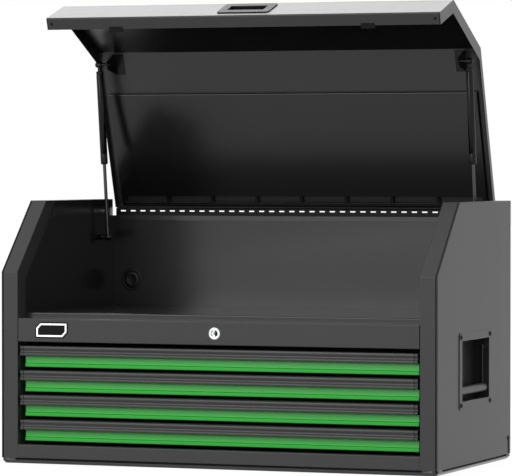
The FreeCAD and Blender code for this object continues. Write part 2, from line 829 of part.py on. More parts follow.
def lid_pull():
    # recessed finger pull let into the lid's front
    def frame(width, tall, corner, y0, y1):
        return outline_face(rectangle(-width / 2, width / 2, pull_centre - tall / 2, pull_centre + tall / 2),
                            [corner] * 4, on_front(y0)).extrude(vec(0, y1 - y0, 0))
    plate = frame(pull_plate_width, pull_plate_height, pull_corner, -pull_plate, 0)
    grow = 2 * pull_wall
    shell = frame(pull_opening_width + grow, pull_opening_height + grow, 0, 0, pull_recess + pull_wall)
    hollow = frame(pull_opening_width, pull_opening_height, 0, -pull_plate - past, pull_recess)
    return join([plate, shell]).cut(hollow)


def lid_buffers():
    # rubber clips pushed onto the lip's free edge
    half = buffer_width / 2
    rear = lid_lip + buffer_behind_lip
    clip = block(buffer_x - half, buffer_x + half, rear - buffer_depth, rear,
                 ledge_height + seat, ledge_height + seat + buffer_height)
    slot = block(buffer_x - half - past, buffer_x + half + past, rear - buffer_depth - past, lid_lip,
                 lid_low, lid_low + inner_skin)
    return Part.makeCompound(both_sides(clip.cut(slot)))


def lid_rivets():
    start = vec(lid_half - rivet_from_end, lid_lip / 2, lid_low - rivet_head)
    return Part.makeCompound(both_sides(small_rod(start, vec(0, 0, 1), rivet_radius, rivet_head)))


def strut_lid_bracket():
    # folded bracket with the pin that the strut hangs from
    y = strut_lid_back
    z = strut_lid_height
    outer = strut_plate_x + strut_plate
    ahead = y - strut_cheek_ahead
    behind = y + strut_foot_behind
    foot_plate = block(strut_plate_x - strut_foot_width, outer, ahead, behind,
                       lid_inside - strut_plate, lid_inside)
    cheek = plate_x([(ahead, lid_inside), (y - strut_cheek_end, z - strut_cheek_end),
                     (y + strut_cheek_end, z - strut_cheek_end), (behind, lid_inside)], strut_plate_x, outer)
    across = vec(1, 0, 0)
    clip_x = strut_x + strut_eye_width / 2 + seat
    pin = pivot_pin(vec(strut_plate_x - strut_nut, y, z), across, strut_pin_radius,
                    clip_x + 2 * strut_clip - strut_plate_x + strut_nut)
    nut = small_rod(vec(strut_plate_x - strut_nut, y, z), across, strut_nut_radius, strut_nut)
    clip = small_rod(vec(clip_x, y, z), across, strut_nut_radius, strut_clip)
    return join([foot_plate, cheek, pin, nut, clip])


# ---- gas struts, drawn with the lid open --------------------------------------------------
strut_high = lid_point(strut_lid_back, strut_lid_height)
strut_low = (hinge_back - strut_wall_ahead, hinge_height - strut_wall_below)
strut_length = math.hypot(strut_high[0] - strut_low[0], strut_high[1] - strut_low[1])
strut_shut_length = math.hypot(strut_lid_back - strut_low[0], strut_lid_height - strut_low[1])
strut_tube_length = strut_shut_length - strut_stem - strut_fitting - strut_shut_gap


def along_strut(shape):
    # the strut is drawn hanging straight down from the upper pin, then leant into place
    lean = math.degrees(math.atan2(strut_low[0] - strut_high[0], strut_high[1] - strut_low[1]))
    shape = shape.copy()
    shape.rotate(vec(0, 0, 0), vec(1, 0, 0), lean)
    shape.translate(vec(strut_x, strut_high[0], strut_high[1]))
    return shape


def strut_eye(height):
    # flat end fitting with a cross hole for its pin
    half = strut_eye_width / 2
    across = vec(1, 0, 0)
    eye = small_rod(vec(-half, 0, height), across, strut_eye_radius, 2 * half)
    hole = pivot_bore(vec(-half - past, 0, height), across, strut_pin_radius, 2 * (half + past))
    return eye, hole


def strut_tube():
    down = vec(0, 0, -1)
    eye, hole = strut_eye(0)
    stem = small_rod(vec(0, 0, 0), down, strut_stem_radius, strut_stem)
    tube = rod(vec(0, 0, -strut_stem), down, strut_tube_radius, strut_tube_length)
    bore_top = strut_stem + strut_cap
    tube = tube.cut(rod(vec(0, 0, -bore_top), down, strut_rod_radius + strut_running_gap, strut_tube_length))
    return along_strut(join([eye, stem, tube]).cut(hole))


def strut_rod():
    down = vec(0, 0, -1)
    top = strut_stem + strut_tube_length - strut_rod_inside
    shaft = rod(vec(0, 0, -top), down, strut_rod_radius, strut_length - top)
    fitting = small_rod(vec(0, 0, -strut_length + strut_fitting), down, strut_stem_radius, strut_fitting)
    eye, hole = strut_eye(-strut_length)
    return along_strut(join([shaft, fitting, eye]).cut(hole))


def strut_foot_pin():
    # lower pin with the shoulder that faces the wall bracket
    y, z = strut_low
    face = liner_face - strut_plate - seat
    inner = strut_x - strut_eye_width / 2
    across = vec(1, 0, 0)
    start = inner - 2 * strut_clip
    pin = pivot_pin(vec(start, y, z), across, strut_pin_radius, face - start)
    clip = small_rod(vec(inner - strut_clip - seat, y, z), across, strut_nut_radius, strut_clip)
    shoulder = small_rod(vec(face - strut_nut, y, z), across, strut_nut_radius, strut_nut)
    return join([pin, clip, shoulder])


def strut_wall_bracket():
    # upright pad riveted to the liner, with an arm reaching back to the lower pin
    y, z = strut_low
    front = y - strut_pad_ahead
    pad = rectangle(front, front + strut_pad_depth, z - strut_pad_half_height, z + strut_pad_half_height)
    arm = rectangle(front, y + strut_arm_behind, z - strut_arm_half_height, z + strut_arm_half_height)
    return join([plate_x(outline, liner_face - strut_plate, liner_face) for outline in (pad, arm)])


# ---- drawers ------------------------------------------------------------------------------
def drawer_front(low):
    # coloured front: top flange, flat face and a rolled-out bead along the bottom
    top = low + drawer_front_height - pull_sheet
    rear = front_recess + front_flange
    bead = front_recess - bead_proud
    turn = bead_proud / 2
    path = [(rear, top), (front_recess, top), (front_recess, low + bead_height + turn),
            (bead, low + bead_height - turn), (bead, low), (rear, low)]
    front = bent_sheet(path, [0, 0, 0, 0, bead_bend, 0], inner_skin, on_side(-front_half),
                       vec(2 * front_half, 0, 0))
    end = block(front_half - inner_skin, front_half, front_recess + inner_skin / 2, rear,
                low + inner_skin / 2, top - inner_skin / 2)
    return join([front] + both_sides(end))


def drawer_pull(low):
    # full-width pull: rounded brow, hollow waist, rounded lower lip turned under
    top = low + drawer_front_height
    rear = front_recess + front_flange
    base = top - pull_height
    path = [(rear, top), (brow_set_back, top), (brow_foot_back, top - brow_height),
            (waist_depth, top - waist_below), (lip_set_back, top - lip_below), (lip_set_back, base),
            (lip_turn, base)]
    pull = bent_sheet(path, [0, brow_bend, 0, waist_bend, 0, lip_bend, 0], pull_sheet, on_side(-drawer_half),
                      vec(2 * drawer_half, 0, 0))
    within = offset_path(path, pull_sheet / 2)[1:]
    cheek = plate_x(within + [(front_recess, top - cheek_below), (front_recess, within[0][1])],
                    drawer_half - pull_sheet, drawer_half)
    return join([pull] + both_sides(cheek))


def drawer_box(low):
    # open steel tray with an inward rim
    front = front_recess + inner_skin
    rear = front + drawer_length
    floor = low + drawer_floor_above
    top = low + drawer_front_height - drawer_wall_below
    sheet = drawer_sheet
    rim = drawer_rim
    body = block(-box_half, box_half, front, rear, floor, top)
    body = body.cut(block(-box_half + sheet, box_half - sheet, front + sheet, rear - sheet,
                          floor + sheet, top - sheet))
    return body.cut(block(-box_half + rim, box_half - rim, front + rim, rear - rim,
                          top - 2 * sheet, top + past))


def channel(x_web, x_open, half, centre, y0, y1):
    # slide member: a web with two flanges reaching towards x_open
    side = 1 if x_open > x_web else -1
    sheet = slide_sheet
    path = [(x_open, centre + half), (x_web, centre + half), (x_web, centre - half), (x_open, centre - half)]
    return bent_sheet(path, [0] * 4, side * sheet, on_front(y0), vec(0, y1 - y0, 0))


def slide_members(low):
    # the three nested members of one right-hand slide: on the wall, between, on the drawer
    centre = low + slide_above_floor
    start = slide_front
    end = slide_front + slide_length
    half = slide_height / 2
    wall = channel(liner_face, box_half + slide_wall_lip, half, centre, post_return + liner_hem, end)
    middle_web = liner_face - slide_sheet - seat
    middle = channel(middle_web, box_half + slide_middle_lip, half - slide_step, centre,
                     start + slide_set_back, end - slide_middle_short)
    inner = channel(box_half, middle_web - slide_sheet - seat, half - 2 * slide_step, centre, start, end)
    return wall, middle, inner


# ---- build every piece --------------------------------------------------------------------
os.makedirs("parts", exist_ok=True)

save("base_pan", base_pan())
save_pair("side_panel", side_panel())
save_pair("front_post", front_post())
save_pair("side_liner", side_liner())
save("back_panel", back_panel())
save("deck_panel", deck_panel())
save("front_top_rail", front_top_rail())
save("front_bottom_rail", front_bottom_rail())
save("cable_port_ring", cable_port_ring())
save("cable_port_cap", cable_port_cap())
save("side_screws", side_screws())

save("lock_housing", lock_housing())
save("lock_cylinder", lock_cylinder())
save("lock_cam", lock_cam())
save("badge_plate", badge_plate())

save_pair("handle_housing", handle_housing())
save_pair("handle_bail", handle_bail())
save_pair("handle_grip", handle_grip())

save("hinge_leaf_case", hinge_leaf(0, hinge_height - hinge_leaf_drop))
save("hinge_leaf_lid", lid_open(hinge_leaf(1, case_height - lid_bend)))
save("hinge_pin", hinge_pin())

save("lid_shell", lid_open(lid_shell()))
save("lid_inner_panel", lid_open(lid_inner_panel()))
save("lid_pull", lid_open(lid_pull()))
save("lid_buffers", lid_open(lid_buffers()))
save("lid_rivets", lid_open(lid_rivets()))
save("strut_lid_brackets", lid_open(Part.makeCompound(both_sides(strut_lid_bracket()))))
save("strut_wall_brackets", Part.makeCompound(both_sides(strut_wall_bracket())))

save_pair("strut_tube", strut_tube())
save_pair("strut_rod", Part.makeCompound([strut_rod(), strut_foot_pin()]))

wall_members = []
for number in range(drawer_count):
    low = first_pull_top - drawer_front_height - number * drawer_pitch
    name = "drawer_" + str(number + 1)
    save(name + "_front", drawer_front(low))
    save(name + "_pull", drawer_pull(low))
    save(name + "_box", drawer_box(low))
    wall, middle, inner = slide_members(low)
    wall_members += both_sides(wall)
    save(name + "_slide_middles", Part.makeCompound(both_sides(middle)))
    save(name + "_slide_inners", Part.makeCompound(both_sides(inner)))
save("slide_wall_members", Part.makeCompound(wall_members))

print("strut open", round(strut_length, 2), "shut", round(strut_shut_length, 2))
print("upper pin, lid open", round(strut_high[0] - case_depth / 2, 3), round(strut_high[1], 3))
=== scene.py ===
import json
import math

import bmesh
import bpy
import numpy as np
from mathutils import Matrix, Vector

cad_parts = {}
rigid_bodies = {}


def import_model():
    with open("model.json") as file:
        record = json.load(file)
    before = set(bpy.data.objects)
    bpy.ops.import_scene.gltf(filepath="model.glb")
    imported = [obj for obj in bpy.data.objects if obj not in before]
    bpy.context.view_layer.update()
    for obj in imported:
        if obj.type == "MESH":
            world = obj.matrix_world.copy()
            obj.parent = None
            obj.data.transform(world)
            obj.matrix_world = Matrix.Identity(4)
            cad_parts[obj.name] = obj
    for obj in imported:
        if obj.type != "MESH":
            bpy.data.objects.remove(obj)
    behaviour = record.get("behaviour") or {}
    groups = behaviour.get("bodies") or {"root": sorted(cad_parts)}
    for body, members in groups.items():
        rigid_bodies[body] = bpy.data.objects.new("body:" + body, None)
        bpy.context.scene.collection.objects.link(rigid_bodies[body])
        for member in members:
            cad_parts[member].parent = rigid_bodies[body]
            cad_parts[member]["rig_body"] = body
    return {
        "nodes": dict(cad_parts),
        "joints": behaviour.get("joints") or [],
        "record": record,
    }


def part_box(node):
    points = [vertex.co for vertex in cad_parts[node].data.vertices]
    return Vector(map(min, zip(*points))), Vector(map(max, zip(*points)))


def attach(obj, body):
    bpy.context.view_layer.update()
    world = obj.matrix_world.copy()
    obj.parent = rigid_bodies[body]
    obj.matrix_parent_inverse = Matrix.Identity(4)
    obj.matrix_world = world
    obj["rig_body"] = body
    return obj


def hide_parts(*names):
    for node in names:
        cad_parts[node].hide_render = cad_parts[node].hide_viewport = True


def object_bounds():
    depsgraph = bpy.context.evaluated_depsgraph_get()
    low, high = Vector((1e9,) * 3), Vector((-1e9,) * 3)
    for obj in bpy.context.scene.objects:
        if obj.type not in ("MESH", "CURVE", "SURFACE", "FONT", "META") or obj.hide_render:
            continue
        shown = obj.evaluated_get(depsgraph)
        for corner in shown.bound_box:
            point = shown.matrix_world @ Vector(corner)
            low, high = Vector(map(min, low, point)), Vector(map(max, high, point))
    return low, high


# Looks for a steel tool chest: powder-coated case, bright drawer fronts, lid on gas struts.
# Metres, +Z up, the front faces -Y.  Pieces are worked out as arrays in the chest's own frame.

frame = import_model()
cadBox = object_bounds()
nodes = frame["nodes"]
slotOf = {part["node"]: part["material_slot"] for part in frame["record"]["subparts"]}
mm = 0.001
onAxis = 1e-9    # a radius under this is a point on the axis
roundOff = 1e-6    # metres
mergeReach = {"piece": 1e-7, "pieceSliver": 1e-8, "node": 2e-6, "nodeSliver": 1e-7}    # metres
print("frame loaded:", len(nodes), "nodes")


def jointNamed(name):
    return next(joint for joint in frame["joints"] if joint["name"] == name)


lidHinge = jointNamed("lid_hinge")
lidTurn = math.radians(lidHinge["range_deg"][1])
hingeLine = np.array(lidHinge["pos_m"])


# shapes as arrays
def gridShape(grid, closeRows=False, closeColumns=True, capStart=False, capEnd=False):
    # grid[i, j] is a point: i runs along the piece and j round it; quads join neighbours
    rows, columns = grid.shape[:2]
    index = np.arange(rows * columns).reshape(rows, columns)
    nextRow = np.roll(index, -1, axis=0) if closeRows else index[1:]
    here = index if closeRows else index[:-1]
    if closeColumns:
        quads = np.stack([here, nextRow, np.roll(nextRow, -1, 1), np.roll(here, -1, 1)], axis=-1)
    else:
        quads = np.stack([here[:, :-1], nextRow[:, :-1], nextRow[:, 1:], here[:, 1:]], axis=-1)
    faces = quads.reshape(-1, 4).tolist()
    if capStart:
        faces.append(index[0].tolist())
    if capEnd:
        faces.append(index[-1][::-1].tolist())
    return grid.reshape(-1, 3), faces


def frameAlong(axis):
    # the unit axis, and two unit vectors square to it and to each other: across = helper x axis
    axis = np.array(axis, float) / np.linalg.norm(axis)
    steep = 0.9    # past this the axis is too upright for +Z to help
    helper = np.array([0.0, 0.0, 1.0]) if abs(axis[2]) < steep else np.array([1.0, 0.0, 0.0])
    across = np.cross(helper, axis)
    across = across / np.linalg.norm(across)
    return axis, across, np.cross(axis, across)


def revolved(profile, origin, axis, segments):
    # profile rows are (radius, height): point = origin + height * axis + radius * (cos t, sin t)
    profile = np.array(profile, float)
    axis, across, up = frameAlong(axis)
    turn = np.linspace(0, 2 * math.pi, segments, endpoint=False)
    ring = np.cos(turn)[:, None] * across + np.sin(turn)[:, None] * up
    grid = np.array(origin) + profile[:, 1, None, None] * axis + profile[:, 0, None, None] * ring
    return gridShape(grid, capStart=profile[0, 0] > onAxis, capEnd=profile[-1, 0] > onAxis)


def revolvedSides(rows, origin, axis, segments, sides, turn=0.0):
    # like revolved, with a share of each row's radius pulled onto a polygon of that many sides:
    # radius / cos(angle from the nearest flat's middle), so a row's radius reaches the flat
    rows = np.array(rows, float)
    axis, across, up = frameAlong(axis)
    angle = np.linspace(0, 2 * math.pi, segments, endpoint=False)
    span = 2 * math.pi / sides
    reach = 1 / np.cos((angle % span) - span / 2)
    share = rows[:, 2, None]
    reach = (1 - share) + share * reach[None]
    ring = np.cos(angle + turn)[:, None] * across + np.sin(angle + turn)[:, None] * up
    grid = np.array(origin) + rows[:, 1, None, None] * axis + (rows[:, 0, None] * reach)[:, :, None] * ring
    return gridShape(grid, capStart=rows[0, 0] > onAxis, capEnd=rows[-1, 0] > onAxis)


def turnedRing(section, centre, segments):
    # closed section of (radius, x) rows turned once round a line along X:
    # point = centre + x * X + radius * (cos t, sin t)
    axis, across, up = frameAlong((1, 0, 0))
    angle = np.linspace(0, 2 * math.pi, segments, endpoint=False)
    ring = np.cos(angle)[:, None] * across + np.sin(angle)[:, None] * up
    grid = np.array(centre) + section[None, :, 1, None] * axis + section[None, :, 0, None] * ring[:, None]
    return gridShape(grid, closeRows=True)


def rounded(points, radii, steps):
    # open path with each inner corner replaced by an arc: tangent length = r / tan(half angle)
    points = np.array(points, float)
    rows = [points[:1]]
    for before, corner, after, radius in zip(points[:-2], points[1:-1], points[2:], radii[1:-1]):
        if radius <= 0:
            rows.append(corner[None])
            continue
        back = (before - corner) / np.linalg.norm(before - corner)
        ahead = (after - corner) / np.linalg.norm(after - corner)
        half = math.acos(np.clip(back @ ahead, -1, 1)) / 2
        middle = (back + ahead) / np.linalg.norm(back + ahead)
        centre = corner + middle * radius / math.sin(half)
        first = corner + back * radius / math.tan(half) - centre
        last = corner + ahead * radius / math.tan(half) - centre
        sweep = math.pi - 2 * half
        t = np.linspace(0, 1, steps + 1)[:, None]
        rows.append(centre + (np.sin((1 - t) * sweep) * first + np.sin(t * sweep) * last) / math.sin(sweep))
    rows.append(points[-1:])
    return np.concatenate(rows)


def closedOutline(points, radii, steps=6):
    # closed outline with rounded corners, the start moved to the middle of its first side
    points = np.array(points, float)
    start = (points[0] + points[-1]) / 2
    path = rounded(np.concatenate([[start], points, [start]]), [0] + list(radii) + [0], steps)
    return path[:-1]


def rectangle(centreA, centreB, width, height):
    # corners of an upright rectangle, anticlockwise
    a, b = width / 2, height / 2
    return [(centreA - a, centreB - b), (centreA + a, centreB - b), (centreA + a, centreB + b),
            (centreA - a, centreB + b)]


def sheetLoop(path, thickness):
    # closed section of a bent sheet: the path, and its copy moved by thickness along the left normal
    ahead = np.gradient(path, axis=0)
    ahead[0] = path[1] - path[0]
    ahead[-1] = path[-1] - path[-2]
    ahead = ahead / np.linalg.norm(ahead, axis=1)[:, None]
    normal = np.stack([-ahead[:, 1], ahead[:, 0]], axis=1)
    return np.concatenate([path, (path + normal * thickness)[::-1]])


def carriedX(section, xs):
    # section rows are (y, z), repeated at each x and capped at both ends
    section = np.array(section, float)
    xs = np.array(xs, float)
    grid = np.empty((len(xs), len(section), 3))
    grid[:, :, 0] = xs[:, None]
    grid[:, :, 1:] = section[None]
    return gridShape(grid, capStart=True, capEnd=True)


def setBack(outline, depth):
    # outline rows (x, z) stood upright at a depth: point = (x, depth, z)
    return np.stack([outline[:, 0], 0 * outline[:, 0] + depth, outline[:, 1]], axis=1)


def copiesAt(shape, offsets):
    # the same shape repeated at each offset, as one array: point + offset
    points, faces = shape
    offsets = np.array(offsets, float)
    allPoints = (points[None] + offsets[:, None]).reshape(-1, 3)
    allFaces = [[i + k * len(points) for i in face] for k in range(len(offsets)) for face in faces]
    return allPoints, allFaces


def lidOpened(shape):
    # a shape drawn with the lid shut, turned back about the hinge line to the open pose:
    # y' = y cos t - z sin t and z' = y sin t + z cos t, both measured from the hinge line
    points, faces = shape
    y = points[:, 1] - hingeLine[1]
    z = points[:, 2] - hingeLine[2]
    c, s = math.cos(-lidTurn), math.sin(-lidTurn)
    turned = np.stack([points[:, 0], hingeLine[1] + y * c - z * s, hingeLine[2] + y * s + z * c], axis=1)
    return turned, faces


# turning shapes into pieces
def placed(name, data):
    # an object of that name in the scene
    item = bpy.data.objects.new(name, data)
    bpy.context.scene.collection.objects.link(item)
    return item


def cleanMesh(mesh, smoothAngle):
    # doubles merged, normals turned outwards, and edges past the angle kept sharp
    work = bmesh.new()
    work.from_mesh(mesh)
    bmesh.ops.remove_doubles(work, verts=work.verts, dist=mergeReach["piece"])
    bmesh.ops.dissolve_degenerate(work, edges=work.edges, dist=mergeReach["pieceSliver"])
    bmesh.ops.recalc_face_normals(work, faces=work.faces)
    work.to_mesh(mesh)
    work.free()
    mesh.shade_smooth()
    mesh.set_sharp_from_angle(angle=math.radians(smoothAngle))


def newPiece(name, shapes, material, body, replaced, smoothAngle=32):
    # one object from several shapes, riding on a body and standing for the replaced nodes
    points, faces, start = [], [], 0
    for shapePoints, shapeFaces in shapes:
        points.append(shapePoints)
        faces += [[i + start for i in face] for face in shapeFaces]
        start += len(shapePoints)
    mesh = bpy.data.meshes.new(name)
    mesh.from_pydata(np.concatenate(points).tolist(), [], faces)
    cleanMesh(mesh, smoothAngle)
    mesh.materials.append(material)
    piece = placed(name, mesh)
    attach(piece, body)
    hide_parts(*replaced)
    return piece


def addBevel(piece, width, segments, angle):
    bevel = piece.modifiers.new("edges", "BEVEL")
    bevel.width = width
    bevel.segments = segments
    bevel.limit_method = "ANGLE"
    bevel.angle_limit = math.radians(angle)
    bevel.use_clamp_overlap = True
    bevel.harden_normals = True


def faceReach(edge, face):
    # width of a face beside one of its edges, measured square to that edge
    start, end = (vert.co for vert in edge.verts)
    inward = face.normal.cross((end - start).normalized())
    return max(abs((vert.co - start).dot(inward)) for vert in face.verts)


foldAngles = {"flat": 0.6, "fold": 25, "sharp": 28}    # degrees
foldLimits = {"alongX": 0.999, "longEdge": 400 * mm, "edgeRoom": 3, "faceWeight": 100}    # room in radii


def foldedCopy(node, material, foldRadius, edgeRadius, foldFace, segments, across=False):
    # a copy of a node's mesh, merged, with its outer folds rounded wide and its cut edges a little;
    # flat triangles are joined only into convex faces, so that no bevel runs along a sliver;
    # across keeps the rounding to the long edges along X
    source = nodes[node]
    mesh = source.data.copy()
    mesh.name = node + "Folded"
    work = bmesh.new()
    work.from_mesh(mesh)
    bmesh.ops.remove_doubles(work, verts=work.verts, dist=mergeReach["node"])
    bmesh.ops.dissolve_degenerate(work, edges=work.edges, dist=mergeReach["nodeSliver"])
    bmesh.ops.join_triangles(work, faces=work.faces, angle_face_threshold=math.radians(foldAngles["flat"]),
                             angle_shape_threshold=math.pi)
    bmesh.ops.recalc_face_normals(work, faces=work.faces)
    weight = work.edges.layers.float.new("bevel_weight_edge")
    for edge in work.edges:
        if len(edge.link_faces) != 2 or edge.calc_length() < edgeRadius:
            continue
        if edge.calc_face_angle_signed(0.0) < math.radians(foldAngles["fold"]):
            continue
        ahead = (edge.verts[1].co - edge.verts[0].co).normalized()
        if across and (abs(ahead.x) < foldLimits["alongX"] or edge.calc_length() < foldLimits["longEdge"]):
            continue
        reach = min(faceReach(edge, face) for face in edge.link_faces)
        if reach > foldFace and edge.calc_length() > foldFace:
            edge[weight] = 1.0
        elif reach > foldLimits["edgeRoom"] * edgeRadius:
            edge[weight] = edgeRadius / foldRadius
    work.to_mesh(mesh)
    work.free()
    mesh.materials.clear()
    mesh.materials.append(material)
    mesh.shade_smooth()
    mesh.set_sharp_from_angle(angle=math.radians(foldAngles["sharp"]))
    piece = placed(node + "Folded", mesh)
    bevel = piece.modifiers.new("folds", "BEVEL")
    bevel.width = foldRadius
    bevel.segments = segments
    bevel.limit_method = "WEIGHT"
    bevel.use_clamp_overlap = False
    bevel.loop_slide = False
    keepFlat = piece.modifiers.new("keepFlat", "WEIGHTED_NORMAL")
    keepFlat.keep_sharp = True
    keepFlat.weight = foldLimits["faceWeight"]
    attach(piece, source["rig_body"])
    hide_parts(node)
    return piece


def nodeBox(node):
    low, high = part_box(node)
    return np.array(low), np.array(high)


def nodeIslands(node):
    # the points of each loose shell of a node, as one array a shell
    work = bmesh.new()
    work.from_mesh(nodes[node].data)
    bmesh.ops.remove_doubles(work, verts=work.verts, dist=mergeReach["node"])
    islands, seen = [], set()
    for start in work.verts:
        if start in seen:
            continue
        shell, waiting = {start}, [start]
        while waiting:
            here = waiting.pop()
            for link in here.link_edges:
                other = link.other_vert(here)
                if other not in shell:
                    shell.add(other)
                    waiting.append(other)
        seen |= shell
        islands.append(np.array([vert.co[:] for vert in shell]))
    work.free()
    return islands


# shared effects
def shaderGroup(name, inputs, outputs):
    group = bpy.data.node_groups.new(name, "ShaderNodeTree")
    for label, kind, value in inputs:
        socket = group.interface.new_socket(label, in_out="INPUT", socket_type=kind)
        socket.default_value = value
    for label, kind in outputs:
        group.interface.new_socket(label, in_out="OUTPUT", socket_type=kind)
    return group, group.nodes.new("NodeGroupInput"), group.nodes.new("NodeGroupOutput")


def feed(tree, socket, value):
    # a number is set on the socket, and an output is linked to it
    if isinstance(value, (int, float)):
        socket.default_value = value
    else:
        tree.links.new(value, socket)


def mathNode(tree, operation, *values):
    node = tree.nodes.new("ShaderNodeMath")
    node.operation = operation
    for socket, value in zip(node.inputs, values):
        feed(tree, socket, value)
    return node.outputs[0]


def noiseOn(tree, vector, scale, detail, roughness=0.5):
    noise = tree.nodes.new("ShaderNodeTexNoise")
    tree.links.new(vector, noise.inputs["Vector"])
    feed(tree, noise.inputs["Scale"], scale)
    noise.inputs["Detail"].default_value = detail
    noise.inputs["Roughness"].default_value = roughness
    return noise.outputs["Fac"]


def scaledColour(tree, colour, factor):
    # colour multiplied by a varying number
    mix = tree.nodes.new("ShaderNodeMix")
    mix.data_type = "RGBA"
    mix.blend_type = "MULTIPLY"
    mix.inputs["Factor"].default_value = 1.0
    combine = tree.nodes.new("ShaderNodeCombineColor")
    for channel in combine.inputs[:3]:
        tree.links.new(factor, channel)
    tree.links.new(colour, mix.inputs["A"])
    tree.links.new(combine.outputs[0], mix.inputs["B"])
    return mix.outputs["Result"]


def linkSurface(group, entry, leave, tint, wander, height):
    # colour * tint, roughness = centre + spread * wander, and the height for the bump
    group.links.new(scaledColour(group, entry.outputs["Colour"], tint), leave.inputs["Colour"])
    centre, spread = entry.outputs["Gloss Centre"], entry.outputs["Gloss Spread"]
    group.links.new(mathNode(group, "MULTIPLY_ADD", wander, spread, centre), leave.inputs["Roughness"])
    group.links.new(height, leave.inputs["Height"])


coatNoise = {"mottle": (7.0, 4.0), "cloud": (38.0, 3.0), "grain": (2.0, 0.6)}
brushNoise = {"lines": (1.0, 3.0, 0.6), "tint": 0.25}


def coatGrainGroup():
    # powder or moulded surface: slow mottling of the colour, fine orange peel, wandering gloss;
    # mottle and cloud are (scale, detail), and grain is (detail, roughness)
    group, entry, leave = shaderGroup("coatGrain", [
        ("Colour", "NodeSocketColor", (0.1, 0.1, 0.1, 1)), ("Mottle", "NodeSocketFloat", 0.08),
        ("Gloss Centre", "NodeSocketFloat", 0.45), ("Gloss Spread", "NodeSocketFloat", 0.1),
        ("Grain Scale", "NodeSocketFloat", 900.0)],
        [("Colour", "NodeSocketColor"), ("Roughness", "NodeSocketFloat"), ("Height", "NodeSocketFloat")])
    place = group.nodes.new("ShaderNodeTexCoord").outputs["Object"]
    slow = mathNode(group, "SUBTRACT", noiseOn(group, place, *coatNoise["mottle"]), 0.5)
    tint = mathNode(group, "MULTIPLY_ADD", slow, entry.outputs["Mottle"], 1.0)
    cloud = mathNode(group, "SUBTRACT", noiseOn(group, place, *coatNoise["cloud"]), 0.5)
    grain = noiseOn(group, place, entry.outputs["Grain Scale"], *coatNoise["grain"])
    linkSurface(group, entry, leave, tint, cloud, grain)
    return group


def brushedLinesGroup():
    # fine scratches drawn out along one direction: noise on coordinates squeezed along it;
    # lines are (scale, detail, roughness)
    group, entry, leave = shaderGroup("brushedLines", [
        ("Colour", "NodeSocketColor", (0.6, 0.6, 0.6, 1)), ("Direction", "NodeSocketVector", (8, 900, 900)),
        ("Gloss Centre", "NodeSocketFloat", 0.3), ("Gloss Spread", "NodeSocketFloat", 0.2)],
        [("Colour", "NodeSocketColor"), ("Roughness", "NodeSocketFloat"), ("Height", "NodeSocketFloat")])
    place = group.nodes.new("ShaderNodeTexCoord").outputs["Object"]
    stretch = group.nodes.new("ShaderNodeVectorMath")
    stretch.operation = "MULTIPLY"
    group.links.new(place, stretch.inputs[0])
    group.links.new(entry.outputs["Direction"], stretch.inputs[1])
    lines = noiseOn(group, stretch.outputs[0], *brushNoise["lines"])
    centred = mathNode(group, "SUBTRACT", lines, 0.5)
    tint = mathNode(group, "MULTIPLY_ADD", centred, brushNoise["tint"], 1.0)
    linkSurface(group, entry, leave, tint, centred, lines)
    return group


coatGrain = coatGrainGroup()
brushedLines = brushedLinesGroup()
print("shader groups built")

# materials
bumpDistance = {"coat": 0.1 * mm, "metal": 0.05 * mm}


def newMaterial(name):
    material = bpy.data.materials.new(name)
    material.use_nodes = True
    return material, material.node_tree, material.node_tree.nodes["Principled BSDF"]


def finish(name, group, settings, bump, distance, direct):
    # a Principled shader fed by one shared group; plain numbers go on the shader's own sockets
    material, tree, shader = newMaterial(name)
    effect = tree.nodes.new("ShaderNodeGroup")
    effect.node_tree = group
    for label, value in settings.items():
        effect.inputs[label].default_value = value
    tree.links.new(effect.outputs["Colour"], shader.inputs["Base Color"])
    tree.links.new(effect.outputs["Roughness"], shader.inputs["Roughness"])
    relief = tree.nodes.new("ShaderNodeBump")
    relief.inputs["Strength"].default_value = bump
    relief.inputs["Distance"].default_value = distance
    tree.links.new(effect.outputs["Height"], relief.inputs["Height"])
    tree.links.new(relief.outputs["Normal"], shader.inputs["Normal"])
    for label, value in direct.items():
        shader.inputs[label].default_value = value
    return material


def coat(name, colour, gloss, spread=0.04, mottle=0.06, grain=900.0, bump=0.15, shine=0.5):
    # shine is the specular level: 0.5 for an ordinary paint, less for a flat black
    settings = {"Colour": colour + (1,), "Mottle": mottle, "Gloss Centre": gloss, "Gloss Spread": spread,
                "Grain Scale": grain}
    return finish(name, coatGrain, settings, bump, bumpDistance["coat"], {"Specular IOR Level": shine})


def metal(name, colour, gloss, direction, spread=0.15, bump=0.15):
    # direction is how fine the brush lines are along X, Y and Z: the smallest runs along the lines
    settings = {"Colour": colour + (1,), "Direction": direction, "Gloss Centre": gloss,
                "Gloss Spread": spread}
    return finish(name, brushedLines, settings, bump, bumpDistance["metal"], {"Metallic": 1.0})


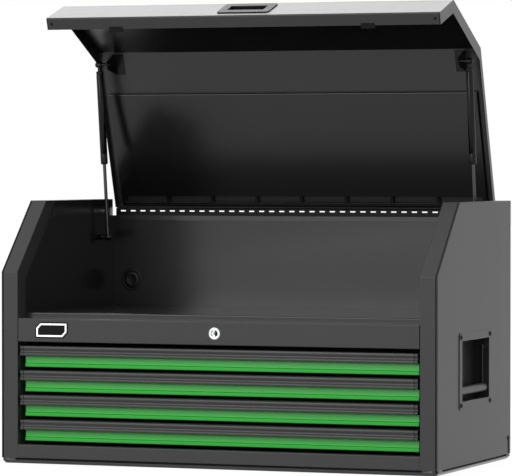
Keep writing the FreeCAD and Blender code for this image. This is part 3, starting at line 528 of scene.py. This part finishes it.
finishes = {
    "caseGrey": coat("caseGrey", (0.102, 0.102, 0.1025), 0.24, shine=0.26),
    # painted shade: the case paint made darker and less shiny for the sides and the handle housings
    "sideShadedGrey": coat("sideShadedGrey", (0.075, 0.075, 0.0755), 0.26, shine=0.14),
    # painted shade: the case paint made darker for the inside of the case
    "caseShadedInside": coat("caseShadedInside", (0.027, 0.027, 0.0275), 0.21, bump=0.05),
    # painted shade: the case paint made darker for the lid, so its underside reads as shaded
    "lidShadedGrey": coat("lidShadedGrey", (0.024, 0.024, 0.0245), 0.30),
    # painted shade: the lid paint made nearly black for the lid's inner panel
    "lidShadedInside": coat("lidShadedInside", (0.006, 0.006, 0.0063), 0.19, shine=0.44),
    "pullGrey": coat("pullGrey", (0.036, 0.034, 0.0355), 0.34),
    "drawerGrey": coat("drawerGrey", (0.034, 0.034, 0.0345), 0.4),
    "brightGreen": coat("brightGreen", (0.05, 0.82, 0.085), 0.30, shine=0.62),
    # painted light: a lighter copy of the drawer green for the bead, with less shine
    "beadLitGreen": coat("beadLitGreen", (0.05, 0.96, 0.075), 0.30, shine=0.36),
    "blackPlastic": coat("blackPlastic", (0.010, 0.010, 0.0104), 0.45, grain=1600.0, bump=0.2, shine=0.3),
    "gripPlastic": coat("gripPlastic", (0.04, 0.04, 0.041), 0.42, grain=1600.0),
    "blackScrew": coat("blackScrew", (0.005, 0.005, 0.0053), 0.45, bump=0.1, shine=0.15),
    "strutBlack": coat("strutBlack", (0.005, 0.005, 0.0053), 0.26, bump=0.05, shine=0.22),
    "capPlastic": coat("capPlastic", (0.022, 0.022, 0.023), 0.4, grain=1600.0, bump=0.15),
    "zincBlack": coat("zincBlack", (0.02, 0.02, 0.0205), 0.35, bump=0.1),
    "softRubber": coat("softRubber", (0.010, 0.010, 0.010), 0.75, bump=0.3, shine=0.2),
    # flat black for the badge, also laid on the base pan's step as painted shade
    "plateBlackAndSeamShade": coat("plateBlackAndSeamShade", (0.003, 0.003, 0.0033), 0.4, bump=0.03, shine=0.12),
    "badgeWhite": metal("badgeWhite", (0.97, 0.97, 0.96), 0.28, (300, 300, 300), spread=0.04, bump=0.03),
    "brightChrome": metal("brightChrome", (0.80, 0.81, 0.82), 0.24, (400, 400, 400), spread=0.06, bump=0.03),
    # painted reflection: the strut chrome made dark, standing for the dark surroundings it reflects
    "rodPaintedDarkSteel": metal("rodPaintedDarkSteel", (0.075, 0.075, 0.077), 0.26, (600, 600, 8), spread=0.08),
    "hingeBlack": coat("hingeBlack", (0.006, 0.006, 0.0063), 0.5, bump=0.05, shine=0.15),
    "zincPlate": metal("zincPlate", (0.5, 0.51, 0.52), 0.36, (8, 700, 700)),
}
print("materials built:", len(finishes))

nodeFinish = {
    "base_coat": "caseGrey", "case_coat": "caseGrey", "black_plastic": "blackPlastic",
    "screw_black": "blackScrew", "lock_chrome": "brightChrome", "zinc_steel": "zincPlate",
    "badge_black": "plateBlackAndSeamShade", "lid_coat": "lidShadedGrey", "buffer_rubber": "softRubber",
    "strut_black": "strutBlack", "strut_chrome": "rodPaintedDarkSteel", "drawer_green": "brightGreen",
    "pull_grey": "pullGrey", "drawer_grey": "drawerGrey",
}
for nodeName, node in nodes.items():
    node.data.materials.clear()
    node.data.materials.append(finishes[nodeFinish[slotOf[nodeName]]])

# folded sheet panels
panelFold = {"foldRadius": 2.0 * mm, "edgeRadius": 0.25 * mm, "foldFace": 6.0 * mm, "segments": 3}
# sides, the inside of the case and the lid take darker copies of the case paint as painted shade
foldedPanels = {
    "side_panel_right": "sideShadedGrey", "side_panel_left": "sideShadedGrey", "front_post_right": "caseGrey",
    "front_post_left": "caseGrey", "side_liner_right": "caseShadedInside", "side_liner_left": "caseShadedInside",
    "back_panel": "caseShadedInside", "deck_panel": "caseShadedInside", "front_top_rail": "caseGrey",
    "front_bottom_rail": "caseGrey", "lid_shell": "lidShadedGrey", "lid_inner_panel": "lidShadedInside",
}
for nodeName, finishName in foldedPanels.items():
    foldedCopy(nodeName, finishes[finishName], across=nodeName == "lid_shell", **panelFold)
print("folded panels:", len(foldedPanels))

# drawers
bendSteps = 7    # spans round each bend


def sheetPiece(path, radii, thickness, xs):
    # bent sheet carried along X: the path is its outer face, the sheet lies to the left of it
    return carriedX(sheetLoop(rounded(path, radii, bendSteps), thickness), xs)


drawerPull = {
    "nose": 0.4, "sheet": 1.6, "endCap": 8.0, "groove": 0.8, "capSink": 0.25, "capEdge": 0.5, "back": 24.0,
    "outer": [(36.0, 0.0), (1.4, 0.0), (1.0, -7.0), (5.0, -12.0), (0.4, -17.5), (0.4, -23.1), (8.0, -23.1)],
    "radii": [0, 3.2, 4.5, 4.5, 4.5, 2.0, 0],
}


def buildPull(node):
    # outer rows are (depth behind the nose, height from the top), bent and carried along X
    low, high = nodeBox(node)
    place = np.array([low[1] - drawerPull["nose"] * mm, high[2]])
    outer = np.array(drawerPull["outer"]) * mm + place
    radii = [radius * mm for radius in drawerPull["radii"]]
    half = high[0]
    end = half - drawerPull["endCap"] * mm
    reach = end - drawerPull["groove"] * mm
    body = sheetPiece(outer, radii, drawerPull["sheet"] * mm, [-reach, reach])
    # end caps: the same outline sunk a little and closed along the drawer's front face
    bent = rounded(outer, radii, bendSteps)
    back = place[0] + drawerPull["back"] * mm
    cap = np.concatenate([[[back, place[1]]], bent[1:], [[back, bent[-1, 1]]]])
    cap = cap + np.array([drawerPull["capSink"] * mm, 0.0])
    drawer = node.replace("_pull", "")
    newPiece(drawer + "Pull", [body], finishes["pullGrey"], drawer, [node])
    caps = [carriedX(cap, [side * end, side * half]) for side in (-1, 1)]
    capPiece = newPiece(drawer + "PullCaps", caps, finishes["capPlastic"], drawer, [node])
    addBevel(capPiece, drawerPull["capEdge"] * mm, segments=2, angle=40)


drawerFace = {
    "sheet": 1.2, "flange": 12.0, "proud": 2.4, "bead": 9.0, "topBend": 1.8, "crease": 1.4, "beadBend": 2.4,
    "beadFront": 0.3,
}


def buildFace(node):
    # one pressed sheet: flat face, a bead standing proud along its foot, and flanges turned back
    low, high = nodeBox(node)
    bead, bottom, top = low[1], low[2], high[2]
    proud = drawerFace["proud"] * mm
    slope = proud / 2
    face = bead + proud
    rear = face + drawerFace["flange"] * mm
    crease = bottom + drawerFace["bead"] * mm
    path = [(rear, top), (face, top), (face, crease + slope), (bead, crease - slope), (bead, bottom),
            (rear, bottom)]
    bends = [drawerFace[key] * mm for key in ("topBend", "crease", "crease", "beadBend")]
    sheet = drawerFace["sheet"] * mm
    shapes = [sheetPiece(path, [0] + bends + [0], sheet, [low[0], high[0]])]
    for side in (low[0], high[0]):
        inner = side - math.copysign(sheet, side)
        end = rectangle((face + rear) / 2 + sheet / 2, (top + bottom) / 2, rear - face - sheet,
                        top - bottom - 2 * sheet)
        shapes.append(carriedX(end, sorted((side, inner))))
    drawer = node.replace("_front", "")
    piece = newPiece(drawer + "Face", shapes, finishes["brightGreen"], drawer, [node])
    piece.data.materials.append(finishes["beadLitGreen"])
    for polygon in piece.data.polygons:
        # painted light: the bead takes a lighter copy of the green, and shines a little less than the face
        # over it
        if polygon.center.y < bead + drawerFace["beadFront"] * mm and polygon.center.z < crease - slope:
            polygon.material_index = 1


for number in range(1, 5):
    buildPull("drawer_%d_pull" % number)
    buildFace("drawer_%d_front" % number)
print("drawer fronts and pulls built")

# screws and rivets
panHead = {
    "radius": 5.5, "height": 2.0, "crown": 0.62, "skirt": 0.5, "steps": 7, "twist": 0.35,
    "socket": 2.0, "depth": 1.4, "mouthWide": 0.25, "mouthDeep": 0.2, "cone": 0.4,
}
rivetHead = {"rim": 0.3, "sunk": 0.2, "steps": 8}
lidRivet = {"radius": 3.6, "rise": 1.8}    # rise is the head's height over half the rivet's length


def screwHead(centre, axis, turn):
    # domed head with a six-sided socket; rows are (radius, height, how six-sided), and the dome is
    # (radius * (crown + (1 - crown) * cos a), skirt + (height - skirt) * sin a)
    radius, height, skirt = (panHead[key] * mm for key in ("radius", "height", "skirt"))
    socket, depth, cone = (panHead[key] * mm for key in ("socket", "depth", "cone"))
    wide, deep = panHead["mouthWide"] * mm, panHead["mouthDeep"] * mm
    crown = panHead["crown"]
    rows = [(radius, 0.0, 0)]
    for a in np.linspace(0.0, math.pi / 2, panHead["steps"]):
        reach = radius * (crown + (1 - crown) * math.cos(a))
        rows.append((reach, skirt + (height - skirt) * math.sin(a), 0))
    rows += [(socket + wide, height, 1), (socket, height - deep, 1), (socket, height - depth, 1),
             (0.0, height - depth - cone, 1)]
    return revolvedSides(rows, centre, axis, 36, 6, turn)


def dome(radius, height):
    # low rivet head: a straight rim and a quarter ellipse over it,
    # (radius * cos a, height * (rim + (1 - rim) * sin a))
    rim = rivetHead["rim"]
    sweep = np.linspace(0.0, math.pi / 2, rivetHead["steps"])
    rows = [(radius, -rivetHead["sunk"] * mm), (radius, rim * height)]
    rows += [(radius * math.cos(a), height * (rim + (1 - rim) * math.sin(a))) for a in sweep[1:]]
    return rows


def nutRows(radius, height, chamfer, start=0.0):
    # six-sided nut with its corners turned off, from millimetres to rows in metres
    rows = [(radius - chamfer, 0.0, 0), (radius, chamfer, 0), (radius, chamfer, 1),
            (radius, height - chamfer, 1), (radius, height - chamfer, 0), (radius - chamfer, height, 0)]
    return [(r * mm, (h + start) * mm, share) for r, h, share in rows]


def buildScrews():
    heads = []
    for k, island in enumerate(nodeIslands("side_screws")):
        centre = (island.min(0) + island.max(0)) / 2
        outward = math.copysign(1.0, centre[0])
        start = centre - np.array([outward * panHead["height"] * mm / 2, 0, 0])
        heads.append(screwHead(start, (outward, 0, 0), panHead["twist"] * k))
    newPiece("sideScrews", heads, finishes["blackScrew"], "cabinet", ["side_screws"],
             smoothAngle=40)


def buildLidRivets():
    # drawn along the lid's own down direction when open
    down = np.array([0.0, -math.sin(lidTurn), -math.cos(lidTurn)])
    heads = []
    for island in nodeIslands("lid_rivets"):
        middle = (island.min(0) + island.max(0)) / 2
        half = (island @ down).max() - middle @ down
        rows = dome(lidRivet["radius"] * mm, lidRivet["rise"] * half)
        heads.append(revolved(rows, middle - down * half, down, 40))
    newPiece("lidRivets", heads, finishes["blackScrew"], "lid", ["lid_rivets"])


buildScrews()
buildLidRivets()
print("screws and rivets built")

# gas struts
strutShape = {
    "tubeRadius": 8.5, "tubeEnd": 2.4, "tubeStart": 15.0, "tubeLength": 222.0,
    "crimp": 0.5, "crimpHalf": 1.2, "crimpFlat": 0.4, "crimpFromStart": 9.0, "crimpFromEnd": 25.0,
    "sealLip": 1.2, "sealGap": 0.2, "sealEdge": 0.8, "sealDepth": 4.0,
    "stemRadius": 4.5, "stemEdge": 1.0, "stemStart": 3.0, "stemFull": 6.0,
    "rodRadius": 4.0, "rodInside": 5.0, "overlap": 1.0,
    "fitting": 29.0, "fittingRadius": 4.5, "fittingEdge": 0.6, "fittingShort": 5.0,
    "eyeRadius": 7.5, "eyeHole": 4.05, "eyeWidth": 12.0, "eyeRound": 1.2,
    "pinRadius": 4.0, "pinEdge": 0.6, "pinHead": (6.0, 3.5, 0.5),
    "clip": [(5.2, 1.2), (6.0, 1.6), (6.0, 2.3), (5.2, 2.7)],
}


def eyeRing(centre):
    # ring across the chest: a rounded rectangle section turned once round its pin
    size = strutShape
    middle = (size["eyeRadius"] + size["eyeHole"]) / 2
    section = closedOutline(rectangle(middle, 0.0, size["eyeRadius"] - size["eyeHole"], size["eyeWidth"]),
                            [size["eyeRound"]] * 4, 4) * mm
    return turnedRing(section, centre, 40)


def arcRows(radius, start, corner, outward=True, steps=5):
    # quarter round at the end of a bar: radius - corner * (1 - sin a) at start + corner * (1 - cos a),
    # and at the far end radius - corner * (1 - cos a) at start + corner * sin a
    t = np.linspace(0, math.pi / 2, steps)
    if outward:
        return [(radius - corner * (1 - math.sin(a)), start + corner * (1 - math.cos(a))) for a in t]
    return [(radius - corner * (1 - math.cos(a)), start + corner * math.sin(a)) for a in t]


def tubeRows(start, end):
    # round start, two crimped grooves, round end, and the seal's lip round the rod
    size = strutShape
    radius, corner = size["tubeRadius"], size["tubeEnd"]
    groove, hole = radius - size["crimp"], size["rodRadius"] + size["sealGap"]
    rows = [(0.0, start)] + arcRows(radius, start, corner)
    for place in (start + size["crimpFromStart"], end - size["crimpFromEnd"]):
        rows += [(radius, place - size["crimpHalf"]), (groove, place - size["crimpFlat"]),
                 (groove, place + size["crimpFlat"]), (radius, place + size["crimpHalf"])]
    rows += arcRows(radius, end - corner, corner, False)
    rows += [(size["rodRadius"] + size["sealLip"], end), (hole, end - size["sealEdge"]),
             (hole, end - size["sealDepth"])]
    return rows


def strutFoot(side):
    # the lower pin: an eye's radius over the rod's lowest point, on the stroke's line from the upper pin
    points = np.concatenate(nodeIslands("strut_rod_" + side))
    low = points[:, 2].min() + strutShape["eyeRadius"] * mm
    swing = np.array(jointNamed("strut_%s_swing" % side)["pos_m"])
    stroke = np.array(jointNamed("strut_%s_stroke" % side)["axis"])
    return swing - stroke * (swing[2] - low) / stroke[2]


def lowerPin(side, foot):
    # headed pin through the lower eye, with a clip at its inner end
    size = strutShape
    sign = 1.0 if side == "right" else -1.0
    low, high = nodeBox("strut_rod_" + side)
    inner = min(abs(low[0]), abs(high[0]))
    reach = max(abs(low[0]), abs(high[0])) - inner
    across = (sign, 0, 0)
    base = np.array([sign * inner, foot[1], foot[2]])
    radius, edge = size["pinRadius"], size["pinEdge"]
    pin = np.array([(radius - edge, 0.0), (radius, edge), (radius, reach / mm)]) * mm
    head = base + np.array([sign * (reach - size["pinHead"][1] * mm), 0, 0])
    return [revolved(pin, base, across, 32), revolved(np.array(size["clip"]) * mm, base, across, 32),
            revolvedSides(nutRows(*size["pinHead"]), head, across, 36, 6)]


def buildStrut(side):
    # rows are (radius, distance from the upper pin) in millimetres, turned round the strut's line
    size = strutShape
    top = np.array(jointNamed("strut_%s_swing" % side)["pos_m"])
    foot = strutFoot(side)
    along = foot - top
    length = np.linalg.norm(along) / mm
    start, end = size["tubeStart"], size["tubeStart"] + size["tubeLength"]
    fit = length - size["fitting"]
    neck = size["stemRadius"]
    stem = [(neck - size["stemEdge"], size["stemStart"]), (neck, size["stemFull"]),
            (neck, start + size["overlap"])]
    shaft = [(size["rodRadius"], end - size["rodInside"]), (size["rodRadius"], fit + size["overlap"])]
    wide, edge = size["fittingRadius"], size["fittingEdge"]
    collar = [(wide - edge, fit), (wide, fit + edge), (wide, length - size["fittingShort"])]
    shapes = [revolved(np.array(tubeRows(start, end)) * mm, top, along, 48),
              revolved(np.array(stem) * mm, top, along, 32), eyeRing(top)]
    tube, rod, piston = "strut_tube_" + side, "strut_rod_" + side, "strut_%s_piston" % side
    newPiece("strutTube%s" % side.capitalize(), shapes, finishes["strutBlack"], "strut_%s_cylinder" % side,
             [tube])
    # the rod and its fittings take the chrome darkened as a painted reflection
    newPiece("strutRod%s" % side.capitalize(), [revolved(np.array(shaft) * mm, top, along, 32)],
             finishes["rodPaintedDarkSteel"], piston, [rod])
    ball = [revolved(np.array(collar) * mm, top, along, 32), eyeRing(foot)] + lowerPin(side, foot)
    newPiece("strutFoot%s" % side.capitalize(), ball, finishes["rodPaintedDarkSteel"], piston, [rod])


for side in ("right", "left"):
    buildStrut(side)
print("struts built")

# continuous hinge
pianoHinge = {
    "pitch": 25.4, "gap": 0.3, "radius": 2.5, "bore": 1.36, "rollRound": 0.25, "leaf": 1.0,
    "caseNotch": 3.0, "lidNotch": 0.4, "lidReach": 21.0, "pinRadius": 1.3, "pinEdge": 0.4,
    "rivetPitch": 76.2, "rivetRadius": 3.2, "rivetHeight": 1.1,
}


def knuckle(length):
    # one rolled knuckle on the hinge line, starting at x = 0
    size = pianoHinge
    wall = size["radius"] - size["bore"]
    section = closedOutline(rectangle(size["radius"] - wall / 2, length / 2, wall, length),
                            [size["rollRound"]] * 4, 3) * mm
    return turnedRing(section, (0.0, hingeLine[1], hingeLine[2]), 28)


def leafShapes(first, edge, half, away, notch):
    # leaf drawn shut: the plate, a tongue to each knuckle, the knuckles and a row of rivets;
    # knuckle k starts at x = -half + (k + first / 2) * pitch, and away is +1 over the hinge line
    size = pianoHinge
    rear = hingeLine[1] - size["radius"] * mm
    step = size["pitch"] * mm
    length = size["pitch"] / 2 - size["gap"]
    starts = np.arange(-half + first * step / 2, half - step / 2 + roundOff, step)
    sheet = size["leaf"] * mm
    near = hingeLine[2] + away * (size["radius"] + notch) * mm
    plate = carriedX(rectangle(rear + sheet / 2, (edge + near) / 2, sheet, abs(edge - near)), [-half, half])
    bridge = rectangle(rear + sheet / 2, (near + hingeLine[2]) / 2, sheet, abs(near - hingeLine[2]))
    tongue = carriedX(bridge, [0.0, length * mm])
    offsets = np.stack([starts, 0 * starts, 0 * starts], axis=1)
    count = int(2 * half / mm // size["rivetPitch"])
    spots = (np.arange(count + 1) - count / 2) * size["rivetPitch"] * mm
    rows = dome(size["rivetRadius"] * mm, size["rivetHeight"] * mm)
    rivet = revolved(rows, (0, rear + sheet, (edge + near) / 2), (0, 1, 0), 20)
    return [plate, copiesAt(tongue, offsets), copiesAt(knuckle(length), offsets),
            copiesAt(rivet, np.stack([spots, 0 * spots, 0 * spots], axis=1))]


def buildHinge():
    size = pianoHinge
    low, high = nodeBox("hinge_leaf_case")
    half = high[0]
    caseLeaf = leafShapes(0, low[2], half, -1, size["caseNotch"])
    newPiece("hingeLeafCase", caseLeaf, finishes["hingeBlack"], "cabinet",
             ["hinge_leaf_case"])
    # the lid's leaf reaches the lid's upper fold when shut
    fold = hingeLine[2] + size["lidReach"] * mm
    lidLeaf = [lidOpened(shape) for shape in leafShapes(1, fold, half, 1, size["lidNotch"])]
    newPiece("hingeLeafLid", lidLeaf, finishes["hingeBlack"], "lid",
             ["hinge_leaf_lid"])
    radius, edge, length = size["pinRadius"], size["pinEdge"], 2 * half / mm
    pin = [(radius - edge, 0.0), (radius, edge), (radius, length - edge), (radius - edge, length)]
    rod = revolved(np.array(pin) * mm, (-half, hingeLine[1], hingeLine[2]), (1, 0, 0), 20)
    newPiece("hingeRod", [rod], finishes["hingeBlack"], "cabinet", ["hinge_pin"])


buildHinge()
print("hinge built")

# lock and badge
keyLock = {
    "collar": [(7.65, 6.0), (7.65, 0.9), (8.1, 0.5), (9.4, 0.35), (9.9, 0.05), (11.1, 0.0), (12.6, 0.45),
               (13.35, 1.3), (13.5, 2.5)],
    "sheet": 1.5, "barrel": 9.5, "barrelEnd": 26.0, "nut": (13.4, 3.5, 0.6),
    "plug": 7.5, "plugEdge": 0.5, "plugFace": 0.5, "plugSide": 0.9, "plugEnd": 26.3,
    "slotWidth": 2.2, "slotHeight": 8.4, "slotRound": 0.5, "slotDepth": 9.0, "slotMouth": 0.7,
    "slotFlare": 1.12, "slotFloor": 0.02,
}


def buildLock():
    # rows are (radius, depth behind the collar's face), turned round a line along +Y
    size = keyLock
    low, high = nodeBox("lock_housing")
    centre = np.array([0.0, low[1], (low[2] + high[2]) / 2])
    collar = revolved(np.array(size["collar"]) * mm, centre, (0, 1, 0), 64)
    barrel, behind = size["barrel"] * mm, size["collar"][-1][1]
    start = behind + size["sheet"]
    nut = [(barrel, behind * mm, 0), (barrel, start * mm, 0)] + nutRows(*size["nut"], start)
    nut += [(barrel, (start + size["nut"][1]) * mm, 0), (barrel, size["barrelEnd"] * mm, 0)]
    newPiece("lockCollar", [collar, revolvedSides(nut, centre, (0, 1, 0), 48, 6)], finishes["brightChrome"],
             "cabinet", ["lock_housing"])
    # plug: rows blend from the key slot's outline to the round edge
    slot = closedOutline(rectangle(0, 0, size["slotWidth"], size["slotHeight"]), [size["slotRound"]] * 4, 5)
    angle = np.arctan2(slot[:, 1], slot[:, 0])
    circle = np.stack([np.cos(angle), np.sin(angle)], axis=1)
    rings = [(slot * size["slotFloor"], size["slotDepth"]), (slot, size["slotDepth"]),
             (slot, size["slotMouth"]), (slot * size["slotFlare"], size["plugFace"]),
             (circle * (size["plug"] - size["plugEdge"]), size["plugFace"]),
             (circle * size["plug"], size["plugSide"]), (circle * size["plug"], size["plugEnd"])]
    grid = np.array([setBack(ring, depth) for ring, depth in rings])
    newPiece("lockPlug", [gridShape(grid * mm + centre, capEnd=True)], finishes["brightChrome"], "lock_plug",
             ["lock_cylinder"], smoothAngle=24)


badge = {
    "corner": 3.0, "leastCorner": 0.6, "cut": 12.0, "edge": 2.8, "edgeRound": 0.4, "rim": 4.0,
    "rimRise": 0.15, "rimRound": 0.1, "sink": 0.5, "fieldSheet": 0.3,
}


def insetOutline(points, distance):
    # corners moved inwards so that every side steps in by the distance:
    # corner + distance * (n1 + n2) / (1 + n1 . n2), with the two sides' inward normals
    points = np.array(points, float)
    ahead = np.roll(points, -1, axis=0) - points
    ahead = ahead / np.linalg.norm(ahead, axis=1)[:, None]
    normal = np.stack([-ahead[:, 1], ahead[:, 0]], axis=1)
    before = np.roll(normal, 1, axis=0)
    share = 1 + (before * normal).sum(axis=1)
    return points + distance * (before + normal) / share[:, None]


def buildBadge():
    # plate left blank, two corners cut: dark edge, raised white rim and sunk dark field
    low, high = nodeBox("badge_plate")
    right, top = (high[0] - low[0]) / mm / 2, (high[2] - low[2]) / mm / 2
    centre = np.array([(low[0] + high[0]) / 2, 0.0, (low[2] + high[2]) / 2])
    cut = badge["cut"]
    corners = [(-right, -top), (right - cut, -top), (right, cut - top), (right, top), (cut - right, top),
               (-right, top - cut)]
    back, front = high[1], low[1]

    def ringAt(inset, y):
        bend = max(badge["corner"] - inset, badge["leastCorner"])
        return setBack(closedOutline(insetOutline(corners, inset), [bend] * len(corners)) * mm, y) + centre

    def plate(name, rows, finishName, **caps):
        grid = np.array([ringAt(inset, y) for inset, y in rows])
        newPiece(name, [gridShape(grid, **caps)], finishes[finishName], "cabinet",
                 ["badge_plate"])

    edge, rim = badge["edge"], badge["edge"] + badge["rim"]
    sink, raised = front + badge["sink"] * mm, front - badge["rimRise"] * mm
    edgeRound, rimRound = badge["edgeRound"], badge["rimRound"]
    plate("badgeEdge", [(0.0, back), (0.0, front + edgeRound * mm), (edgeRound, front), (edge, front)],
          "plateBlackAndSeamShade", capStart=True)
    plate("badgeRim", [(edge, front), (edge + rimRound, raised), (rim - rimRound, raised), (rim, sink)],
          "badgeWhite")
    plate("badgeField", [(rim, sink + badge["fieldSheet"] * mm), (rim, sink)], "plateBlackAndSeamShade", capStart=True,
          capEnd=True)


buildLock()
buildBadge()

# cable port
cablePort = {
    "ring": [(22.0, 3.5), (26.0, 2.0), (26.0, 0.9), (25.4, 0.3), (24.6, 0.0), (21.4, 0.0), (20.6, 0.3),
             (20.1, 0.9), (20.1, 3.5)],
    "cap": [(0.0, 1.2), (12.0, 1.2), (12.6, 0.9), (13.4, 0.9), (14.0, 1.2), (18.8, 1.2), (19.6, 1.5),
            (20.0, 2.0), (20.0, 3.5), (0.0, 3.5)],
}


def buildPort():
    # rows are (radius, depth behind the ring's face), turned round a line along +Y
    low, high = nodeBox("cable_port_ring")
    centre = np.array([(low[0] + high[0]) / 2, low[1], (low[2] + high[2]) / 2])
    for name, rows, node in (("portRing", cablePort["ring"], "cable_port_ring"),
                             ("portCap", cablePort["cap"], "cable_port_cap")):
        newPiece(name, [revolved(np.array(rows) * mm, centre, (0, 1, 0), 72)], finishes["blackPlastic"],
                 "cabinet", [node])


buildPort()

# carrying-handle grips
gripShape = {"radius": 10.0, "end": 2.6, "ribs": 14, "ribDepth": 0.35, "ribZone": 0.62, "rows": 140}


def buildGrip(side):
    # revolved bar: radius - end * (1 - rounding) - ribDepth * (1 - cos) / 2, the ends rounded by
    # rounding = sqrt(1 - (1 - edge / end)^2) and the ribs kept to the middle
    size = gripShape
    low, high = nodeBox("handle_grip_" + side)
    length = (high[1] - low[1]) / mm
    h = np.linspace(0.0, length, size["rows"])
    edge = np.minimum(h, length - h)
    rounding = np.sqrt(np.clip(1 - (1 - np.clip(edge / size["end"], 0, 1)) ** 2, 0, 1))
    radius = size["radius"] - size["end"] * (1 - rounding)
    place = (h - length / 2) / (length / 2)
    ribs = 0.5 - 0.5 * np.cos(2 * math.pi * size["ribs"] * (place / size["ribZone"] + 1) / 2)
    radius = radius - size["ribDepth"] * ribs * (np.abs(place) < size["ribZone"])
    rows = np.concatenate([[(0.0, 0.0)], np.stack([radius, h], axis=1), [(0.0, length)]]) * mm
    centre = ((low[0] + high[0]) / 2, low[1], (low[2] + high[2]) / 2)
    newPiece("grip" + side.capitalize(), [revolved(rows, centre, (0, 1, 0), 48)], finishes["gripPlastic"],
             "handle_" + side, ["handle_grip_" + side], smoothAngle=50)


for side in ("right", "left"):
    buildGrip(side)
print("lock, badge, port and grips built")

# small folded and moulded parts
smallFold = {"edgeRadius": 0.2 * mm, "foldFace": 3.0 * mm, "segments": 2}
slideFold = {"foldRadius": 0.6 * mm, "edgeRadius": 0.15 * mm, "foldFace": 3.0 * mm, "segments": 2}
basePan = {"fold": 1.0, "shadedStepOver": 7.0, "shadedStepInside": 2.0}
smallParts = {
    "lid_pull": ("blackPlastic", 1.2), "handle_housing_right": ("sideShadedGrey", 1.0),
    "handle_housing_left": ("sideShadedGrey", 1.0), "handle_bail_right": ("zincBlack", 0.8),
    "handle_bail_left": ("zincBlack", 0.8), "strut_lid_brackets": ("strutBlack", 0.5),
    "strut_wall_brackets": ("strutBlack", 0.7), "lock_cam": ("zincPlate", 0.4),
    "lid_buffers": ("softRubber", 1.0),
}
smallParts.update({"drawer_%d_box" % number: ("drawerGrey", 1.0) for number in range(1, 5)})


def buildBasePan():
    # painted shade: the step inside the rim is coloured black, so the seam over it reads as a dark line
    pan = foldedCopy("base_pan", finishes["caseGrey"], basePan["fold"] * mm, across=True, **smallFold)
    pan.data.materials.append(finishes["plateBlackAndSeamShade"])
    low, high = nodeBox("base_pan")
    for face in pan.data.polygons:
        x, y, z = face.center
        inside = min(x - low[0], high[0] - x, y - low[1], high[1] - y)
        if z > basePan["shadedStepOver"] * mm and inside > basePan["shadedStepInside"] * mm:
            face.material_index = 1


for nodeName, (finishName, fold) in smallParts.items():
    foldedCopy(nodeName, finishes[finishName], fold * mm, **smallFold)
buildBasePan()
for nodeName in [name for name in nodes if "slide" in name]:
    foldedCopy(nodeName, finishes["zincPlate"], **slideFold)
print("small parts rounded")

# floor, lights, camera
studio = {
    "floorSize": 60.0, "floorShade": 0.12, "floorRoughness": 0.9, "floorGlow": 0.93,
    "worldTop": 0.45, "worldLow": 0.14,
    "keyPlace": (-2.2, -6.6, 2.4), "keySize": 3.0, "keyPower": 130.0,
    "sidePlace": (5.2, -1.6, 2.2), "sideSize": 2.4, "sidePower": 1.5,
    "rearPlace": (-1.9, 3.9, 3.7), "rearSize": 3.0, "rearPower": 62.0, "aim": (0.0, 0.0, 0.5),
}
camera = {
    "place": (2.9890, -7.7502, 0.6807), "turn": 21.125, "down": 1.181, "lens": 255.4, "sensor": 36.0,
    "farthest": 200.0,
}


def plainRays(tree):
    # 1 for the rays that see the white background: camera, glossy and transmission
    path = tree.nodes.new("ShaderNodeLightPath")
    seen = mathNode(tree, "MAXIMUM", path.outputs["Is Camera Ray"], path.outputs["Is Glossy Ray"])
    return mathNode(tree, "MAXIMUM", seen, path.outputs["Is Transmission Ray"])


def buildFloor():
    half = studio["floorSize"] / 2
    mesh = bpy.data.meshes.new("paleFloor")
    low = cadBox[0][2]
    mesh.from_pydata([(-half, -half, low), (half, -half, low), (half, half, low), (-half, half, low)], [],
                     [(0, 1, 2, 3)])
    floor = placed("paleFloor", mesh)
    material, tree, shader = newMaterial("paleFloor")
    shade = studio["floorShade"]
    shader.inputs["Base Color"].default_value = (shade, shade, shade, 1)
    shader.inputs["Roughness"].default_value = studio["floorRoughness"]
    shader.inputs["Emission Color"].default_value = (1, 1, 1, 1)
    glow = mathNode(tree, "MULTIPLY", plainRays(tree), studio["floorGlow"])
    tree.links.new(glow, shader.inputs["Emission Strength"])
    mesh.materials.append(material)


def buildWorld():
    # light by height: low + (top - low) * z over the horizon, and white for the rays that see it
    world = bpy.data.worlds.new("studio")
    bpy.context.scene.world = world
    world.use_nodes = True
    tree = world.node_tree
    background = tree.nodes["Background"]
    direction = tree.nodes.new("ShaderNodeTexCoord").outputs["Generated"]
    parts = tree.nodes.new("ShaderNodeSeparateXYZ")
    tree.links.new(direction, parts.inputs[0])
    rise = mathNode(tree, "MAXIMUM", parts.outputs["Z"], 0.0)
    soft = mathNode(tree, "MULTIPLY_ADD", rise, studio["worldTop"] - studio["worldLow"], studio["worldLow"])
    level = tree.nodes.new("ShaderNodeMix")
    tree.links.new(plainRays(tree), level.inputs["Factor"])
    tree.links.new(soft, level.inputs["A"])
    level.inputs["B"].default_value = 1.0
    tree.links.new(level.outputs["Result"], background.inputs["Strength"])
    background.inputs["Color"].default_value = (1, 1, 1, 1)


def softLight(name, place, size, power):
    # square lamp turned so that its -Z axis looks at the aim
    lamp = bpy.data.lights.new(name, "AREA")
    lamp.size = size
    lamp.energy = power
    light = placed(name, lamp)
    axis, across, up = frameAlong(np.array(place) - np.array(studio["aim"]))
    matrix = np.eye(4)
    matrix[:3, :3] = np.stack([across, up, axis], axis=1)
    matrix[:3, 3] = place
    light.matrix_world = matrix.T.tolist()


def buildCamera():
    data = bpy.data.cameras.new("camera")
    data.lens = camera["lens"]
    data.sensor_width = camera["sensor"]
    data.clip_end = camera["farthest"]
    eye = placed("camera", data)
    eye.location = camera["place"]
    eye.rotation_euler = (math.radians(90 - camera["down"]), 0, math.radians(camera["turn"]))
    bpy.context.scene.camera = eye


buildFloor()
buildWorld()
for lamp in ("key", "side", "rear"):
    softLight(lamp + "Light", studio[lamp + "Place"], studio[lamp + "Size"], studio[lamp + "Power"])
buildCamera()
bpy.context.scene.view_settings.view_transform = "Standard"
print("studio built")
